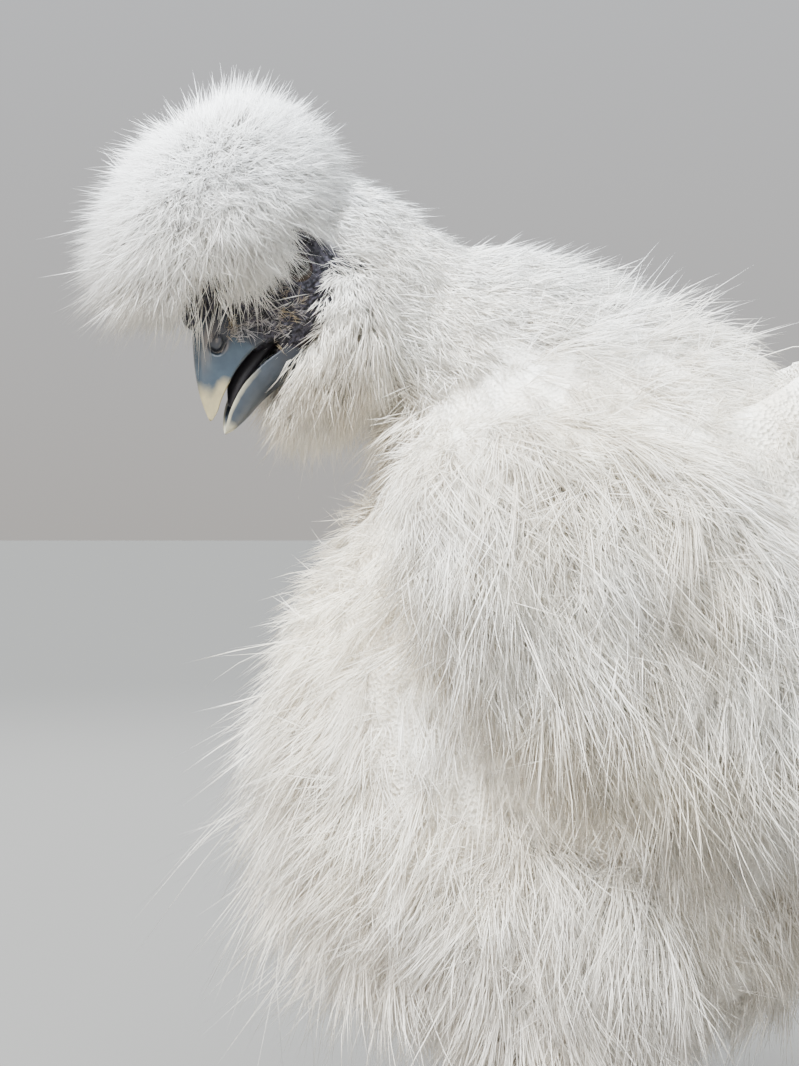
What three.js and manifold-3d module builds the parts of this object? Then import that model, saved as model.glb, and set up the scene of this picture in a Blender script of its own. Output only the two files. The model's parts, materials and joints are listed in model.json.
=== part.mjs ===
// A silkie chicken, life size, standing still with its head tucked down and turned a little to its left.
// Millimetres, +Z up. The bird faces -Y and +X is its left side. The origin is on the ground under its middle.
import * as THREE from "three";
import { mergeVertices } from "three/addons/utils/BufferGeometryUtils.js";
import Module from "manifold-3d";

const wasm = await Module();
wasm.setup();

// Driving sizes
const gap = 0.3; // clear space between neighbouring pieces
const coreShare = 0.42; // of the coat's depth that is solid down, under the locks
const headPitch = 60; // degrees that the bill points below the horizon
const headTurn = 20; // degrees that the head turns to the bird's left
const headCentre = [12, -21.6, 224];
const eyeRadius = 4.1;
const eyePlace = [4.8, 0.8, 9.4]; // forward, up and out from the head's centre
const torsoWidth = 98;
const torsoLength = 120;
const footSpread = 27; // of each foot from the bird's middle
const footForward = 30; // of the foot's pad, as a place along Y
const flightVanes = 6; // of each wing
const toeThickness = 7;
const soleHeight = 0; // the flats that the bird stands on

const at = (x, y, z) => new THREE.Vector3(x, y, z);
const radians = THREE.MathUtils.degToRad;

// A repeatable random draw between 0 and 1
function seeded(seed) {
  let state = seed;
  return () => {
    state = (state * 1664525 + 1013904223) % 4294967296;
    return state / 4294967296;
  };
}

// The head's own directions: forward along the bill, up through the crown, and out to the bird's left
const forward = at(
  Math.cos(radians(headPitch)) * Math.sin(radians(headTurn)),
  -Math.cos(radians(headPitch)) * Math.cos(radians(headTurn)),
  -Math.sin(radians(headPitch)),
);
const crown = at(
  Math.sin(radians(headPitch)) * Math.sin(radians(headTurn)),
  -Math.sin(radians(headPitch)) * Math.cos(radians(headTurn)),
  Math.cos(radians(headPitch)),
);
const outward = crown.clone().cross(forward);
const headAxes = new THREE.Matrix4().makeBasis(crown, forward, outward);

function onHead(f, u, l) {
  return at(...headCentre)
    .addScaledVector(forward, f)
    .addScaledVector(crown, u)
    .addScaledVector(outward, l);
}

// A closed geometry from points and triangles, with its faces turned to point out
function closed(points, triangles) {
  let volume = 0;
  for (const [a, b, c] of triangles) {
    volume += points[a].dot(points[b].clone().cross(points[c]));
  }
  const index = triangles.flatMap(([a, b, c]) => (volume < 0 ? [a, c, b] : [a, b, c]));
  const geometry = new THREE.BufferGeometry().setFromPoints(points);
  geometry.setIndex(index);
  return geometry;
}

// A closed skin over rings of equal count, with a single point at each end
function ringsToSkin(first, rings, last) {
  const count = rings[0].length;
  const points = [first, ...rings.flat(), last];
  const triangles = [];
  for (let j = 0; j < count; j++) {
    const next = (j + 1) % count;
    triangles.push([0, 1 + next, 1 + j]);
    for (let i = 0; i + 1 < rings.length; i++) {
      const [a, b] = [1 + i * count + j, 1 + i * count + next];
      triangles.push([a, b, b + count], [a, b + count, a + count]);
    }
    const end = 1 + (rings.length - 1) * count;
    triangles.push([end + j, end + next, points.length - 1]);
  }
  return closed(points, triangles);
}

// A body of oval sections strung along a spine. A stop is [place, half width, half depth].
// `across` is the way its width runs, `blunt` fills out both ends, `coat` gives the plumage's depth, and
// `core` the share of that depth which is solid.
class Form {
  constructor({ stops, across = at(1, 0, 0), blunt = 2.3, coat = () => 0, core = coreShare }) {
    this.spine = new THREE.CatmullRomCurve3(stops.map((s) => s[0]));
    this.girth = new THREE.CatmullRomCurve3(stops.map((s) => at(s[1], s[2], 0)), false, "catmullrom");
    this.across = across;
    this.blunt = blunt;
    this.coat = coat;
    this.core = core;
  }

  section(u) {
    const along = this.spine.getTangent(u);
    const side = this.across.clone().addScaledVector(along, -this.across.dot(along)).normalize();
    const girth = this.girth.getPoint(u);
    const round = Math.max(0, 1 - Math.abs(2 * u - 1) ** this.blunt) ** (1 / this.blunt);
    return {
      centre: this.spine.getPoint(u),
      along,
      side,
      deep: along.clone().cross(side),
      halfWidth: girth.x * round,
      halfDepth: girth.y * round,
    };
  }

  skin(u, v) {
    const s = this.section(u);
    const turn = 2 * Math.PI * v;
    return s.centre
      .addScaledVector(s.side, s.halfWidth * Math.cos(turn))
      .addScaledVector(s.deep, s.halfDepth * Math.sin(turn));
  }

  slopes(u, v) {
    const d = 0.004;
    return {
      alongU: this.skin(u + d, v).sub(this.skin(u - d, v)).divideScalar(2 * d),
      alongV: this.skin(u, v + d).sub(this.skin(u, v - d)).divideScalar(2 * d),
    };
  }

  normal(u, v) {
    const { alongU, alongV } = this.slopes(u, v);
    return alongV.cross(alongU).normalize();
  }

  // The surface at a share of the coat's depth, with `extra` added outwards
  surface(u, v, share, extra = 0) {
    const normal = this.normal(u, v);
    const skin = this.skin(u, v);
    return skin.addScaledVector(normal, this.coat(skin, normal) * share + extra);
  }

  mesh(rows, sides, share, extra = 0) {
    const rings = [];
    for (let i = 1; i < rows; i++) {
      const u = (1 - Math.cos((Math.PI * i) / rows)) / 2;
      rings.push(Array.from({ length: sides }, (_, j) => this.surface(u, (j + (i % 2) / 2) / sides, share, extra)));
    }
    const [first, last] = [0, 1].map((u) => {
      const { centre, along } = this.section(u);
      const out = along.multiplyScalar(u ? 1 : -1);
      return centre.clone().addScaledVector(out, this.coat(centre, out) * share + extra);
    });
    return ringsToSkin(first, rings, last);
  }

  // True if a place is inside the form once its skin is grown by `grow`
  holds(place, grow) {
    const near = Array.from({ length: 23 }, (_, k) => this.section((k + 1) / 24)).reduce((a, b) =>
      b.centre.distanceTo(place) < a.centre.distanceTo(place) ? b : a,
    );
    const off = place.clone().sub(near.centre);
    const x = off.dot(near.side) / (near.halfWidth + grow);
    const y = off.dot(near.deep) / (near.halfDepth + grow);
    const z = off.dot(near.along) / (near.halfDepth + grow);
    return x * x + y * y + z * z < 1;
  }

  // A path laid over the form from (u, v): a step along `flow` for each height, which is [share of the
  // coat's depth, millimetres added]. Past either end of the form it runs straight on.
  lay(u, v, flow, step, heights) {
    const path = [];
    for (const height of heights) {
      if (u < 0.03 || u > 0.97) {
        const [before, last] = path.slice(-2);
        const onwards = last.point.clone().sub(before.point).setLength(step);
        path.push({ point: last.point.clone().add(onwards), normal: last.normal });
        continue;
      }
      const { alongU, alongV } = this.slopes(u, v);
      const normal = alongV.clone().cross(alongU).normalize();
      const skin = this.skin(u, v);
      const want = flow(skin, normal).projectOnPlane(normal).setLength(step);
      const lift = height[0] * this.coat(skin, normal) + height[1];
      path.push({ point: skin.addScaledVector(normal, lift), normal });
      const [uu, uv, vv] = [alongU.dot(alongU), alongU.dot(alongV), alongV.dot(alongV)];
      const [wu, wv] = [want.dot(alongU), want.dot(alongV)];
      const det = uu * vv - uv * uv;
      u += (wu * vv - wv * uv) / det;
      if (path.length < 2) u = THREE.MathUtils.clamp(u, 0.03, 0.97);
      v += (wv * uu - wu * uv) / det;
    }
    return path;
  }

  // Staggered places over the form, in a number of rows, about `spacing` apart
  places(spacing, rows, draw) {
    const found = [];
    for (let i = 0; i < rows; i++) {
      const u = THREE.MathUtils.clamp((1 - Math.cos((Math.PI * (i + 0.6)) / rows)) / 2, 0.035, 0.95);
      const { halfWidth, halfDepth } = this.section(u);
      const count = Math.max(3, Math.round((Math.PI * (halfWidth + halfDepth)) / spacing));
      for (let j = 0; j < count; j++) {
        const v = (j + (i % 2) / 2 + 0.35 * (draw() - 0.5)) / count;
        found.push([u + 0.04 * (draw() - 0.5) * (1 - Math.abs(2 * u - 1)), v]);
      }
    }
    return found;
  }
}

// Heights of a lock's root, bend and point over the skin: sunk in the core, then out to the coat's tips.
// A spike stands up from the core, and the flight vanes lie in two tiers.
const lockRise = ({ core }) => [[core, -3], [core, 1.2], [core * 0.45 + 0.55, 0], [1, 0]];
const spikeRise = ({ core }) => [[core, -3], [core, 1.5], [core * 0.4 + 0.62, 0], [1.06, 0]];
const vaneTiers = [0.6, 2.6];
const vaneRise = ({ core }, tier) => {
  const lift = vaneTiers[tier];
  return [[core, -2], [core, lift], [core, lift + 1.6], [core, lift + 2]];
};

// Locks spread over a form, bent along `flow`. `where` picks the skin that they grow on, and a lock that
// would run into one of `clearOf`, each [form, how far its coat reaches], is left out.
function locksOver(form, { rows, spacing, length, width, thickness, flow, seed, stance = lockRise, where, clearOf }) {
  const draw = seeded(seed);
  const rise = stance(form);
  const locks = [];
  for (const [u, v] of form.places(spacing, rows, draw)) {
    const vary = 0.85 + 0.3 * draw();
    if (where && !where(form.skin(u, v), form.normal(u, v))) continue;
    const step = (length * vary) / (rise.length - 1);
    const path = form.lay(u, v, flow, step, rise);
    if (path.slice(1).some(({ point }, i) => point.distanceTo(path[i].point) < 0.6 * step)) continue;
    const out = path.slice(1);
    const blocked = (clearOf ?? []).some(([other, reach]) => out.some(({ point }) => other.holds(point, reach)));
    if (!blocked) locks.push({ path, width: width * vary, thickness });
  }
  return locks;
}

// One lock or vane: a wide, thin, three-sided section carried along a path and drawn to a point.
// Its width keeps one direction, so that its faces stay flat across. With `room` it is the space that
// its neighbours keep clear: the same lock grown all round, with its thin edges squared.
function lockOn({ path, width, thickness }, room) {
  const widths = [0.7, 1, 0.8];
  const side = path.at(-1).point.clone().sub(path[0].point).cross(path[1].normal).normalize();
  const sectionAt = ({ point, normal }, share) => {
    const up = normal.clone().projectOnPlane(side).normalize();
    const half = (width * share) / 2 + room;
    const on = (across, rise) => point.clone().addScaledVector(side, across).addScaledVector(up, rise);
    const ridge = on(0, thickness * share + 1.3 * room);
    if (!room) return [on(half, 0), on(-half, 0), ridge];
    return [on(half, -room), on(-half, -room), on(-half, room), ridge, on(half, room)];
  };
  const rings = path.slice(0, -1).map((station, i) => sectionAt(station, widths[i]));
  const root = rings[0].reduce((sum, point) => sum.add(point), at(0, 0, 0)).divideScalar(rings[0].length);
  const tip = path.at(-1).point.clone();
  const onwards = tip.clone().sub(path.at(-2).point).normalize();
  return ringsToSkin(root, rings, tip.addScaledVector(onwards, 3.5 * room));
}

function solidOf(geometry) {
  const bare = geometry.clone();
  bare.deleteAttribute("normal");
  bare.deleteAttribute("uv");
  const merged = mergeVertices(bare, 1e-4);
  return new wasm.Manifold(
    new wasm.Mesh({
      numProp: 3,
      vertProperties: new Float32Array(merged.attributes.position.array),
      triVerts: new Uint32Array(merged.index.array),
    }),
  );
}

const joined = (geometries) => wasm.Manifold.union(geometries.map(solidOf));

// The largest closed surface of a solid: loose scraps go, and a hollow that the joins sealed is filled
function largestSurface(solid) {
  const { vertProperties, triVerts } = solid.getMesh();
  const leader = Array.from({ length: vertProperties.length / 3 }, (_, i) => i);
  const find = (i) => {
    while (leader[i] !== i) i = leader[i] = leader[leader[i]];
    return i;
  };
  const corner = (i) => at(...vertProperties.subarray(3 * i, 3 * i + 3));
  for (let t = 0; t < triVerts.length; t += 3) {
    leader[find(triVerts[t])] = find(triVerts[t + 1]);
    leader[find(triVerts[t + 1])] = find(triVerts[t + 2]);
  }
  const volumes = new Map();
  for (let t = 0; t < triVerts.length; t += 3) {
    const [a, b, c] = [0, 1, 2].map((k) => corner(triVerts[t + k]));
    const group = find(triVerts[t]);
    volumes.set(group, (volumes.get(group) ?? 0) + a.dot(b.cross(c)));
  }
  const [kept] = [...volumes].reduce((a, b) => (b[1] > a[1] ? b : a));
  const geometry = new THREE.BufferGeometry();
  geometry.setAttribute("position", new THREE.BufferAttribute(vertProperties, 3));
  geometry.setIndex([...triVerts].filter((_, i) => find(triVerts[i - (i % 3)]) === kept));
  geometry.computeVertexNormals();
  return geometry;
}

// A faceted ball that its neighbours clear: the coarser one is drawn large enough to hold the finer
function ball(centre, radius, detail) {
  const geometry = new THREE.IcosahedronGeometry(detail > 1 ? radius : radius * 1.05, detail);
  return geometry.translate(centre.x, centre.y, centre.z);
}

// Plumage depths, in millimetres, by the way that the skin faces
const torsoCoat = ({ z }, n) => {
  const lowness = THREE.MathUtils.clamp((170 - z) / 55, 0, 1);
  return 15 + 2 * Math.max(0, n.z) + 5 * Math.max(0, -n.z) + Math.max(0, -n.y) * (14 * lowness - 7);
};
const neckCoat = () => 9;
const crestCoat = (place, n) => {
  const over = n.dot(crown);
  return 15 + 2 * Math.max(0, over) - 6 * Math.max(0, -over);
};
const beardCoat = () => 9;
const muffCoat = () => 9;
const wingCoat = (place, n) => 8 + 9 * Math.abs(n.x);
const thighCoat = (place, n) => 14 + 3 * Math.max(0, -n.z);
const tailCoat = () => 16;
const featheringCoat = (place, n) => 5 + 2 * Math.abs(n.x);

const torso = new Form({
  stops: [
    [at(0, 53, 208), 42, 48],
    [at(0, 57, 184), 47, 55],
    [at(0, 55, 159), torsoWidth / 2, torsoLength / 2 - 3],
    [at(0, 43, 131), torsoWidth / 2, torsoLength / 2 + 2],
    [at(0, 36, 104), torsoWidth / 2, torsoLength / 2 - 2],
    [at(0, 30, 80), 46, 54],
    [at(0, 26, 60), 42, 50],
  ],
  blunt: 2.7,
  coat: torsoCoat,
  core: 0.5,
});
const neck = new Form({
  stops: [
    [at(0, 55, 187), 38, 35],
    [at(0, 35, 195.5), 32, 29],
    [at(1, 16, 204.5), 24, 21.5],
    [at(4, 2, 212), 17, 16.5],
    [at(8, -7, 221.5), 14, 14],
    [at(10, -13, 230), 13, 13],
    [at(11, -19, 238), 11, 11],
  ],
  coat: neckCoat,
  core: 0.5,
});
const skull = new Form({
  stops: [
    [onHead(-14, 1, 0), 11, 11],
    [onHead(-5, 1, 0), 12.6, 12.6],
    [onHead(5, 0.5, 0), 12.4, 12.8],
    [onHead(13, 0, 0), 10.4, 12.4],
    [onHead(19, 0.6, 0), 8.6, 11.4],
    [onHead(22, 1.6, 0), 7.4, 9.6],
  ],
  across: outward,
  blunt: 3.2,
});
const crestPuff = new Form({
  stops: [
    [onHead(-19, 13, 0), 12, 11],
    [onHead(-6, 16.5, 0), 14, 13],
    [onHead(8, 19.5, 0), 14, 12.5],
    [onHead(21, 21, 0), 10.5, 9],
  ],
  across: outward,
  coat: crestCoat,
  core: 0.62,
});
const beardPuff = new Form({
  stops: [
    [onHead(4, -15, 0), 8, 7],
    [onHead(13, -17.5, 0), 9.5, 7],
    [onHead(22, -18, 0), 7, 5],
  ],
  across: outward,
  coat: beardCoat,
  core: 0.5,
});
const sides = [
  ["left", 1],
  ["right", -1],
];
const muffPuff = (s) =>
  new Form({
    stops: [
      [onHead(-1, -9.5, s * 9.5), 5, 6],
      [onHead(8, -13.5, s * 11), 6, 8],
      [onHead(17, -17, s * 9.5), 5, 6],
    ],
    across: outward,
    coat: muffCoat,
    core: 0.5,
  });
const wingBlade = (s) =>
  new Form({
    stops: [
      [at(s * 38, -3, 181), 9, 15],
      [at(s * 49, 15, 170), 10, 25],
      [at(s * 55, 44, 152), 10, 27],
      [at(s * 54, 70, 135), 7.5, 22],
      [at(s * 49, 88, 121), 5, 13],
    ],
    coat: wingCoat,
  });
const thighDrum = (s) =>
  new Form({
    stops: [
      [at(s * 27, 30, 124), 19, 26],
      [at(s * 30, 32, 99), 20, 26],
      [at(s * 30, 35, 77), 16, 20],
      [at(s * footSpread, 39, 58), 10, 12],
    ],
    coat: thighCoat,
  });
// The feathering of the shank and of the outer toes' roots
const featheringCuff = (s) =>
  new Form({
    stops: [
      [at(s * footSpread, 41, 58), 6.5, 7],
      [at(s * footSpread, 38.5, 40), 6, 6.5],
      [at(s * (footSpread + 0.5), 34, 24), 6, 6.4],
    ],
    coat: featheringCoat,
  });
const tailStump = new Form({
  stops: [
    [at(0, 98, 174), 20, 19],
    [at(0, 110, 167), 19, 20],
    [at(0, 121, 158), 13, 15],
  ],
  coat: tailCoat,
});

// Half of the bill: ovals along the head's forward line, hollowed on the side that faces the mouth.
// A stop is [forward, outer edge, biting edge, half width].
function billHalf(stops, hollow, tip, extra = 0) {
  const arc = 8;
  const palate = 4;
  const rings = stops.map(([f, outer, edge, halfWidth]) => {
    const middle = (outer + edge) / 2;
    const grown = Math.sign(outer - edge) * extra;
    const ring = [];
    for (let i = 0; i <= arc; i++) {
      const turn = (Math.PI * i) / arc;
      const height = (outer + grown - edge) * Math.sin(turn) ** 0.9;
      ring.push(onHead(f, edge + height, (halfWidth + extra) * Math.cos(turn)));
    }
    for (let i = 1; i < palate; i++) {
      const side = -1 + (2 * i) / palate;
      const rise = extra ? -grown : (middle - edge) * hollow * (1 - side * side);
      ring.push(onHead(f, edge + rise, (halfWidth + extra) * side));
    }
    return ring;
  });
  const [f, , edge] = stops[0];
  const first = onHead(f - extra, (stops[0][1] + edge) / 2, 0);
  return ringsToSkin(first, rings, onHead(tip[0] + 2 * extra, tip[1], 0));
}

const upperBill = [
  [20, 13, -1.6, 6.8],
  [22.5, 12.7, -0.5, 6.8],
  [25.5, 11.2, 0.1, 6],
  [28.6, 9.3, 0.3, 5],
  [32, 6.9, 0, 3.9],
  [35, 4.4, -0.5, 2.7],
  [37.4, 1.9, -1.2, 1.6],
];
const lowerBill = [
  [15.5, -10.5, -5.5, 4.5],
  [19.6, -12.4, -5.6, 7],
  [24.5, -10.6, -3.8, 6],
  [30, -8.7, -2.4, 4.5],
  [35, -7.6, -2.8, 2.9],
  [38.4, -6.5, -4, 1.5],
];
const upperTip = [39.4, -0.6];
const lowerTip = [40.2, -5.3];

// The nostril: a slot under a raised scale, on each side of the upper bill
const nostrilPlace = (s) => onHead(25.6, 6.2, s * 5.4);

function ellipsoid(centre, radii, extra = 0, detail = 3) {
  const geometry = new THREE.IcosahedronGeometry(1, detail);
  geometry.scale(radii[1] + extra, radii[0] + extra, radii[2] + extra);
  return geometry.applyMatrix4(headAxes).translate(centre.x, centre.y, centre.z);
}

const upperBillPiece = (extra) => [
  billHalf(upperBill, 0.35, upperTip, extra),
  ...sides.map(([, s]) => ellipsoid(nostrilPlace(s), [2.1, 1.2, 1.1], extra, 0)),
];

// The tongue lies along the floor of the open mouth, rooted in the head
const tongue = new Form({
  stops: [
    [onHead(10.5, -5, 0), 3, 1.8],
    [onHead(17, -3.8, 0), 3.4, 1.9],
    [onHead(24, -3.3, 0), 2.9, 1.4],
    [onHead(32.5, -3.9, 0), 1.4, 0.7],
  ],
  across: outward,
  blunt: 3,
});

// The eyelids: a ring on the head round each eye
function lidRing(s, extra) {
  const [f, u, l] = eyePlace;
  const ring = new THREE.TorusGeometry(eyeRadius + 0.2, 1 + extra, 5, 10);
  const centre = onHead(f, u, s * (l + 1.9));
  return ring.applyMatrix4(headAxes).translate(centre.x, centre.y, centre.z);
}

// The small walnut comb: fused bulbs over the bill's root
const combBulbs = [
  [20.2, 13.6, 0, 3],
  [16.8, 15, 2.8, 3.1],
  [16.8, 15, -2.8, 3.1],
];

// Toes of the left foot: [name, degrees from straight ahead, length, height of its root, rise to its end]
const toes = [
  ["inner", -28, 29, 3.5, -1.4],
  ["middle", 4, 38, 3.5, -1.4],
  ["outer", 34, 30, 3.5, -1.4],
  ["hind", 158, 15, 3.5, -1.4],
  ["fifth", 196, 19, 8.5, 8], // carried clear of the ground, as the breed does
];
const toeGirths = [0.62, 0.5, 0.53, 0.46, 0.4]; // as shares of the toe's thickness
const clawGirths = [0.34, 0.25, 0.14];
const clawLength = 8;
const flatSided = 6; // sides of a toe, one of them flat on the ground

function toeRay(side, [, turn, length, root, rise]) {
  const heading = at(side * Math.sin(radians(turn)), -Math.cos(radians(turn)), rise / length);
  const place = (reach) => at(side * footSpread, footForward, root).addScaledVector(heading, reach);
  return { heading, length, place };
}

// A ring of a toe or claw, upright across its heading, flattened where it would pass the ground
function toeRing(centre, heading, radius) {
  const side = heading.clone().cross(at(0, 0, 1)).normalize();
  return Array.from({ length: flatSided }, (_, i) => {
    const turn = (2 * Math.PI * (i + 0.5)) / flatSided;
    const rim = centre.clone().addScaledVector(side, radius * Math.sin(turn));
    rim.z = Math.max(soleHeight, rim.z + radius * Math.cos(turn));
    return rim;
  });
}

function toeTube(side, toe, extra) {
  const { heading, length, place } = toeRay(side, toe);
  const last = toeGirths.length - 1;
  const rings = toeGirths.map((girth, i) => {
    const reach = (length * i) / last + (i === last ? extra : 0);
    return toeRing(place(reach), heading, girth * toeThickness + extra);
  });
  return ringsToSkin(place(0), rings, place(length + extra));
}

function claw(side, toe) {
  const { heading, length, place } = toeRay(side, toe);
  const hook = toe[0] === "fifth" ? 2.5 : -1; // how far the point curves up or down
  const on = (share) => place(length + gap + clawLength * share).add(at(0, 0, hook * share * share));
  const rings = clawGirths.map((girth, i) => toeRing(on(i / 3), heading, girth * toeThickness));
  const tip = on(1);
  tip.z = Math.max(soleHeight + 0.4, tip.z);
  return ringsToSkin(on(0), rings, tip);
}

function footGeometries(side, extra) {
  const pad = new THREE.IcosahedronGeometry(1, 1)
    .scale(7.4 + extra, 8 + extra, 6.4 + extra)
    .translate(side * footSpread, footForward, 4.8);
  const spots = pad.attributes.position;
  for (let i = 0; i < spots.count; i++) spots.setZ(i, Math.max(soleHeight, spots.getZ(i)));
  return [pad, ...toes.map((toe) => toeTube(side, toe, extra))];
}

const shankTube = (side, extra) =>
  new Form({
    stops: [
      [at(side * footSpread, 42, 64), 5.2 + extra, 5.8 + extra],
      [at(side * footSpread, 40, 48), 4.4 + extra, 5 + extra],
      [at(side * footSpread, 35, 28), 4.2 + extra, 4.6 + extra],
      [at(side * footSpread, footForward + 1.5, 8.5), 4.8 + extra, 5.2 + extra],
    ],
    blunt: 6,
  }).mesh(9, 9, 0);

// Every piece in the order that it is kept whole: a later piece is cut clear of the ones before it
const pieces = [];
const piece = (name, material, add, cut = () => []) => pieces.push({ name, material, add, cut });

const finish = (color, roughness) => new THREE.MeshStandardMaterial({ color, roughness, metalness: 0 });
const plumage = finish(0xf1ece2, 0.9);
const faceSkin = finish(0x2b2a33, 0.7);
const billHorn = finish(0x77889a, 0.4);
const mouthSkin = finish(0x3a2a2e, 0.5);
const eyeShine = finish(0x0d0b0c, 0.1);
const legSkin = finish(0x39404b, 0.6);
const clawHorn = finish(0xb9b4a6, 0.45);

for (const [side, s] of sides) {
  const [f, u, l] = eyePlace;
  piece(`eye_${side}`, eyeShine, (e) => [ball(onHead(f, u, s * l), eyeRadius + e, e ? 1 : 2)]);
}
piece("beak_upper", billHorn, upperBillPiece);
piece("beak_lower", billHorn, (e) => [billHalf(lowerBill, 0.8, lowerTip, e)]);
piece("tongue", mouthSkin, (e) => [tongue.mesh(6, 8, 0, e)]);
piece("comb", faceSkin, (e) => combBulbs.map(([f, u, l, r]) => ball(onHead(f, u, l), r + e, 1)));
for (const [side, s] of sides) {
  piece(`earlobe_${side}`, faceSkin, (e) => [ellipsoid(onHead(-1.5, -3.8, s * 12), [2.4, 3, 1.6], e, 1)]);
}
const mouthHollow = () => ellipsoid(onHead(18, -3.6, 0), [6.5, 1.3, 5.6], 0, 1);
piece("head", faceSkin, (e) => [skull.mesh(10, 12, 0, e), ...sides.map(([, s]) => lidRing(s, e))], () => [
  mouthHollow(),
]);
for (const [side, s] of sides) {
  for (const toe of toes) piece(`claw_${side}_${toe[0]}`, clawHorn, () => [claw(s, toe)]);
  piece(`foot_${side}`, legSkin, (e) => footGeometries(s, e));
  piece(`shank_${side}`, legSkin, (e) => [shankTube(s, e)]);
}

// A coat: its core, part of the way out, and its locks to the tips
function coated(name, form, rows, around, ...sets) {
  const locks = sets.flat();
  piece(name, plumage, (e) => [form.mesh(rows, around, form.core, e), ...locks.map((lock) => lockOn(lock, e))]);
}

// The ways that the plumage lies
const fromCrown = (place) => place.clone().sub(onHead(2, 30, 0));
const backAndDown = (place) => at(place.x * 0.012, 0.55, -1);
const bodyLie = (place, n) =>
  at(place.x * 0.006, 0.2 + 1.1 * Math.max(0, n.z) - 1.3 * Math.max(0, -n.y), -1 + 0.9 * Math.max(0, n.z));
const hang = (place, n) => at(n.x * 0.3, 0.1 + 0.35 * n.y, -1);
const spread = (place, n) => at(n.x * 0.5, 0.3 * n.y, -1);
const tailLie = (place, n) => at(n.x * 0.4, 1, -0.5 + 0.4 * n.z);
const neckLie = (place) => at(place.x * 0.01, 1, -0.62);
const beardLie = (place, n) => forward.clone().multiplyScalar(0.6).add(at(0.5 * n.x, 0.1, -0.8));

coated("crest", crestPuff, 8, 10, locksOver(crestPuff, {
  rows: 7, spacing: 13, length: 10, width: 7, thickness: 2.2, flow: fromCrown, seed: 3, stance: spikeRise,
  where: (place) => !skull.holds(place, 2) && !neck.holds(place, 4),
}));
for (const [side, s] of sides) {
  const puff = muffPuff(s);
  coated(`muff_${side}`, puff, 5, 7, locksOver(puff, {
    rows: 3, spacing: 12, length: 13, width: 8, thickness: 2, flow: beardLie, seed: 6,
    where: (place, n) => n.dot(outward) * s > 0.1,
  }));
}
coated("beard", beardPuff, 6, 8, locksOver(beardPuff, {
  rows: 3, spacing: 12, length: 14, width: 8, thickness: 2, flow: beardLie, seed: 7,
  where: (place, n) => n.dot(crown) < 0.2,
}));
coated("neck", neck, 7, 10, locksOver(neck, {
  rows: 5, spacing: 26, length: 24, width: 15, thickness: 2.2, flow: neckLie, seed: 21,
  clearOf: [[crestPuff, 6], [skull, 2], [torso, -2]],
}));
for (const [side, s] of sides) {
  const blade = wingBlade(s);
  const outside = (place, n) => n.x * s > 0.25;
  const lowerEdge = s > 0 ? 0.11 : 0.39;
  const flight = Array.from({ length: flightVanes }, (_, k) => ({
    path: blade.lay(0.54 + 0.075 * k, lowerEdge, () => at(s * 0.2, 0.75, -1), 13 - 0.5 * k, vaneRise(blade, k % 2)),
    width: 8.5,
    thickness: 1.2,
  }));
  coated(`wing_${side}`, blade, 8, 8, flight,
    locksOver(blade, {
      rows: 6, spacing: 17, length: 28, width: 13, thickness: 2.2, flow: backAndDown, seed: 47, where: outside,
      clearOf: [[torso, 7]],
    }),
  );
}
for (const [side, s] of sides) {
  const drum = thighDrum(s);
  coated(`thigh_${side}`, drum, 7, 9, locksOver(drum, {
    rows: 5, spacing: 24, length: 32, width: 17, thickness: 2.6, flow: hang, seed: 17,
    where: (place, n) => n.x * s > -0.4, clearOf: [[torso, 3]],
  }));
}
for (const [side, s] of sides) {
  const cuff = featheringCuff(s);
  coated(`feathering_${side}`, cuff, 5, 7, locksOver(cuff, {
    rows: 2, spacing: 18, length: 20, width: 9, thickness: 1.8, flow: spread, seed: 29,
  }));
}
coated("tail", tailStump, 6, 8, locksOver(tailStump, {
  rows: 3, spacing: 17, length: 28, width: 14, thickness: 2.4, flow: tailLie, seed: 19,
  where: (place, n) => n.y > -0.2, clearOf: [[torso, 9]],
}));
coated("torso", torso, 10, 14, locksOver(torso, {
  rows: 7, spacing: 25, length: 33, width: 18, thickness: 3, flow: bodyLie, seed: 23,
  where: (place, n) => n.z > -0.75,
  clearOf: [
    [neck, 5],
    [tailStump, 7],
    ...sides.flatMap(([, s]) => [[wingBlade(s), 7], [thighDrum(s), 7]]),
  ],
}));

function build() {
  const bird = new THREE.Group();
  const kept = [];
  for (const { name, material, add, cut } of pieces) {
    let solid = joined(add(0));
    const taken = cut();
    if (taken.length) solid = solid.subtract(joined(taken));
    if (kept.length) solid = solid.subtract(wasm.Manifold.union(kept));
    const mesh = new THREE.Mesh(largestSurface(solid), material);
    mesh.name = name;
    bird.add(mesh);
    kept.push(joined(add(gap)));
  }
  const box = new THREE.Box3().setFromObject(bird);
  bird.position.set(-(box.min.x + box.max.x) / 2, -(box.min.y + box.max.y) / 2, 0);
  return bird;
}

export default build();
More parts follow.
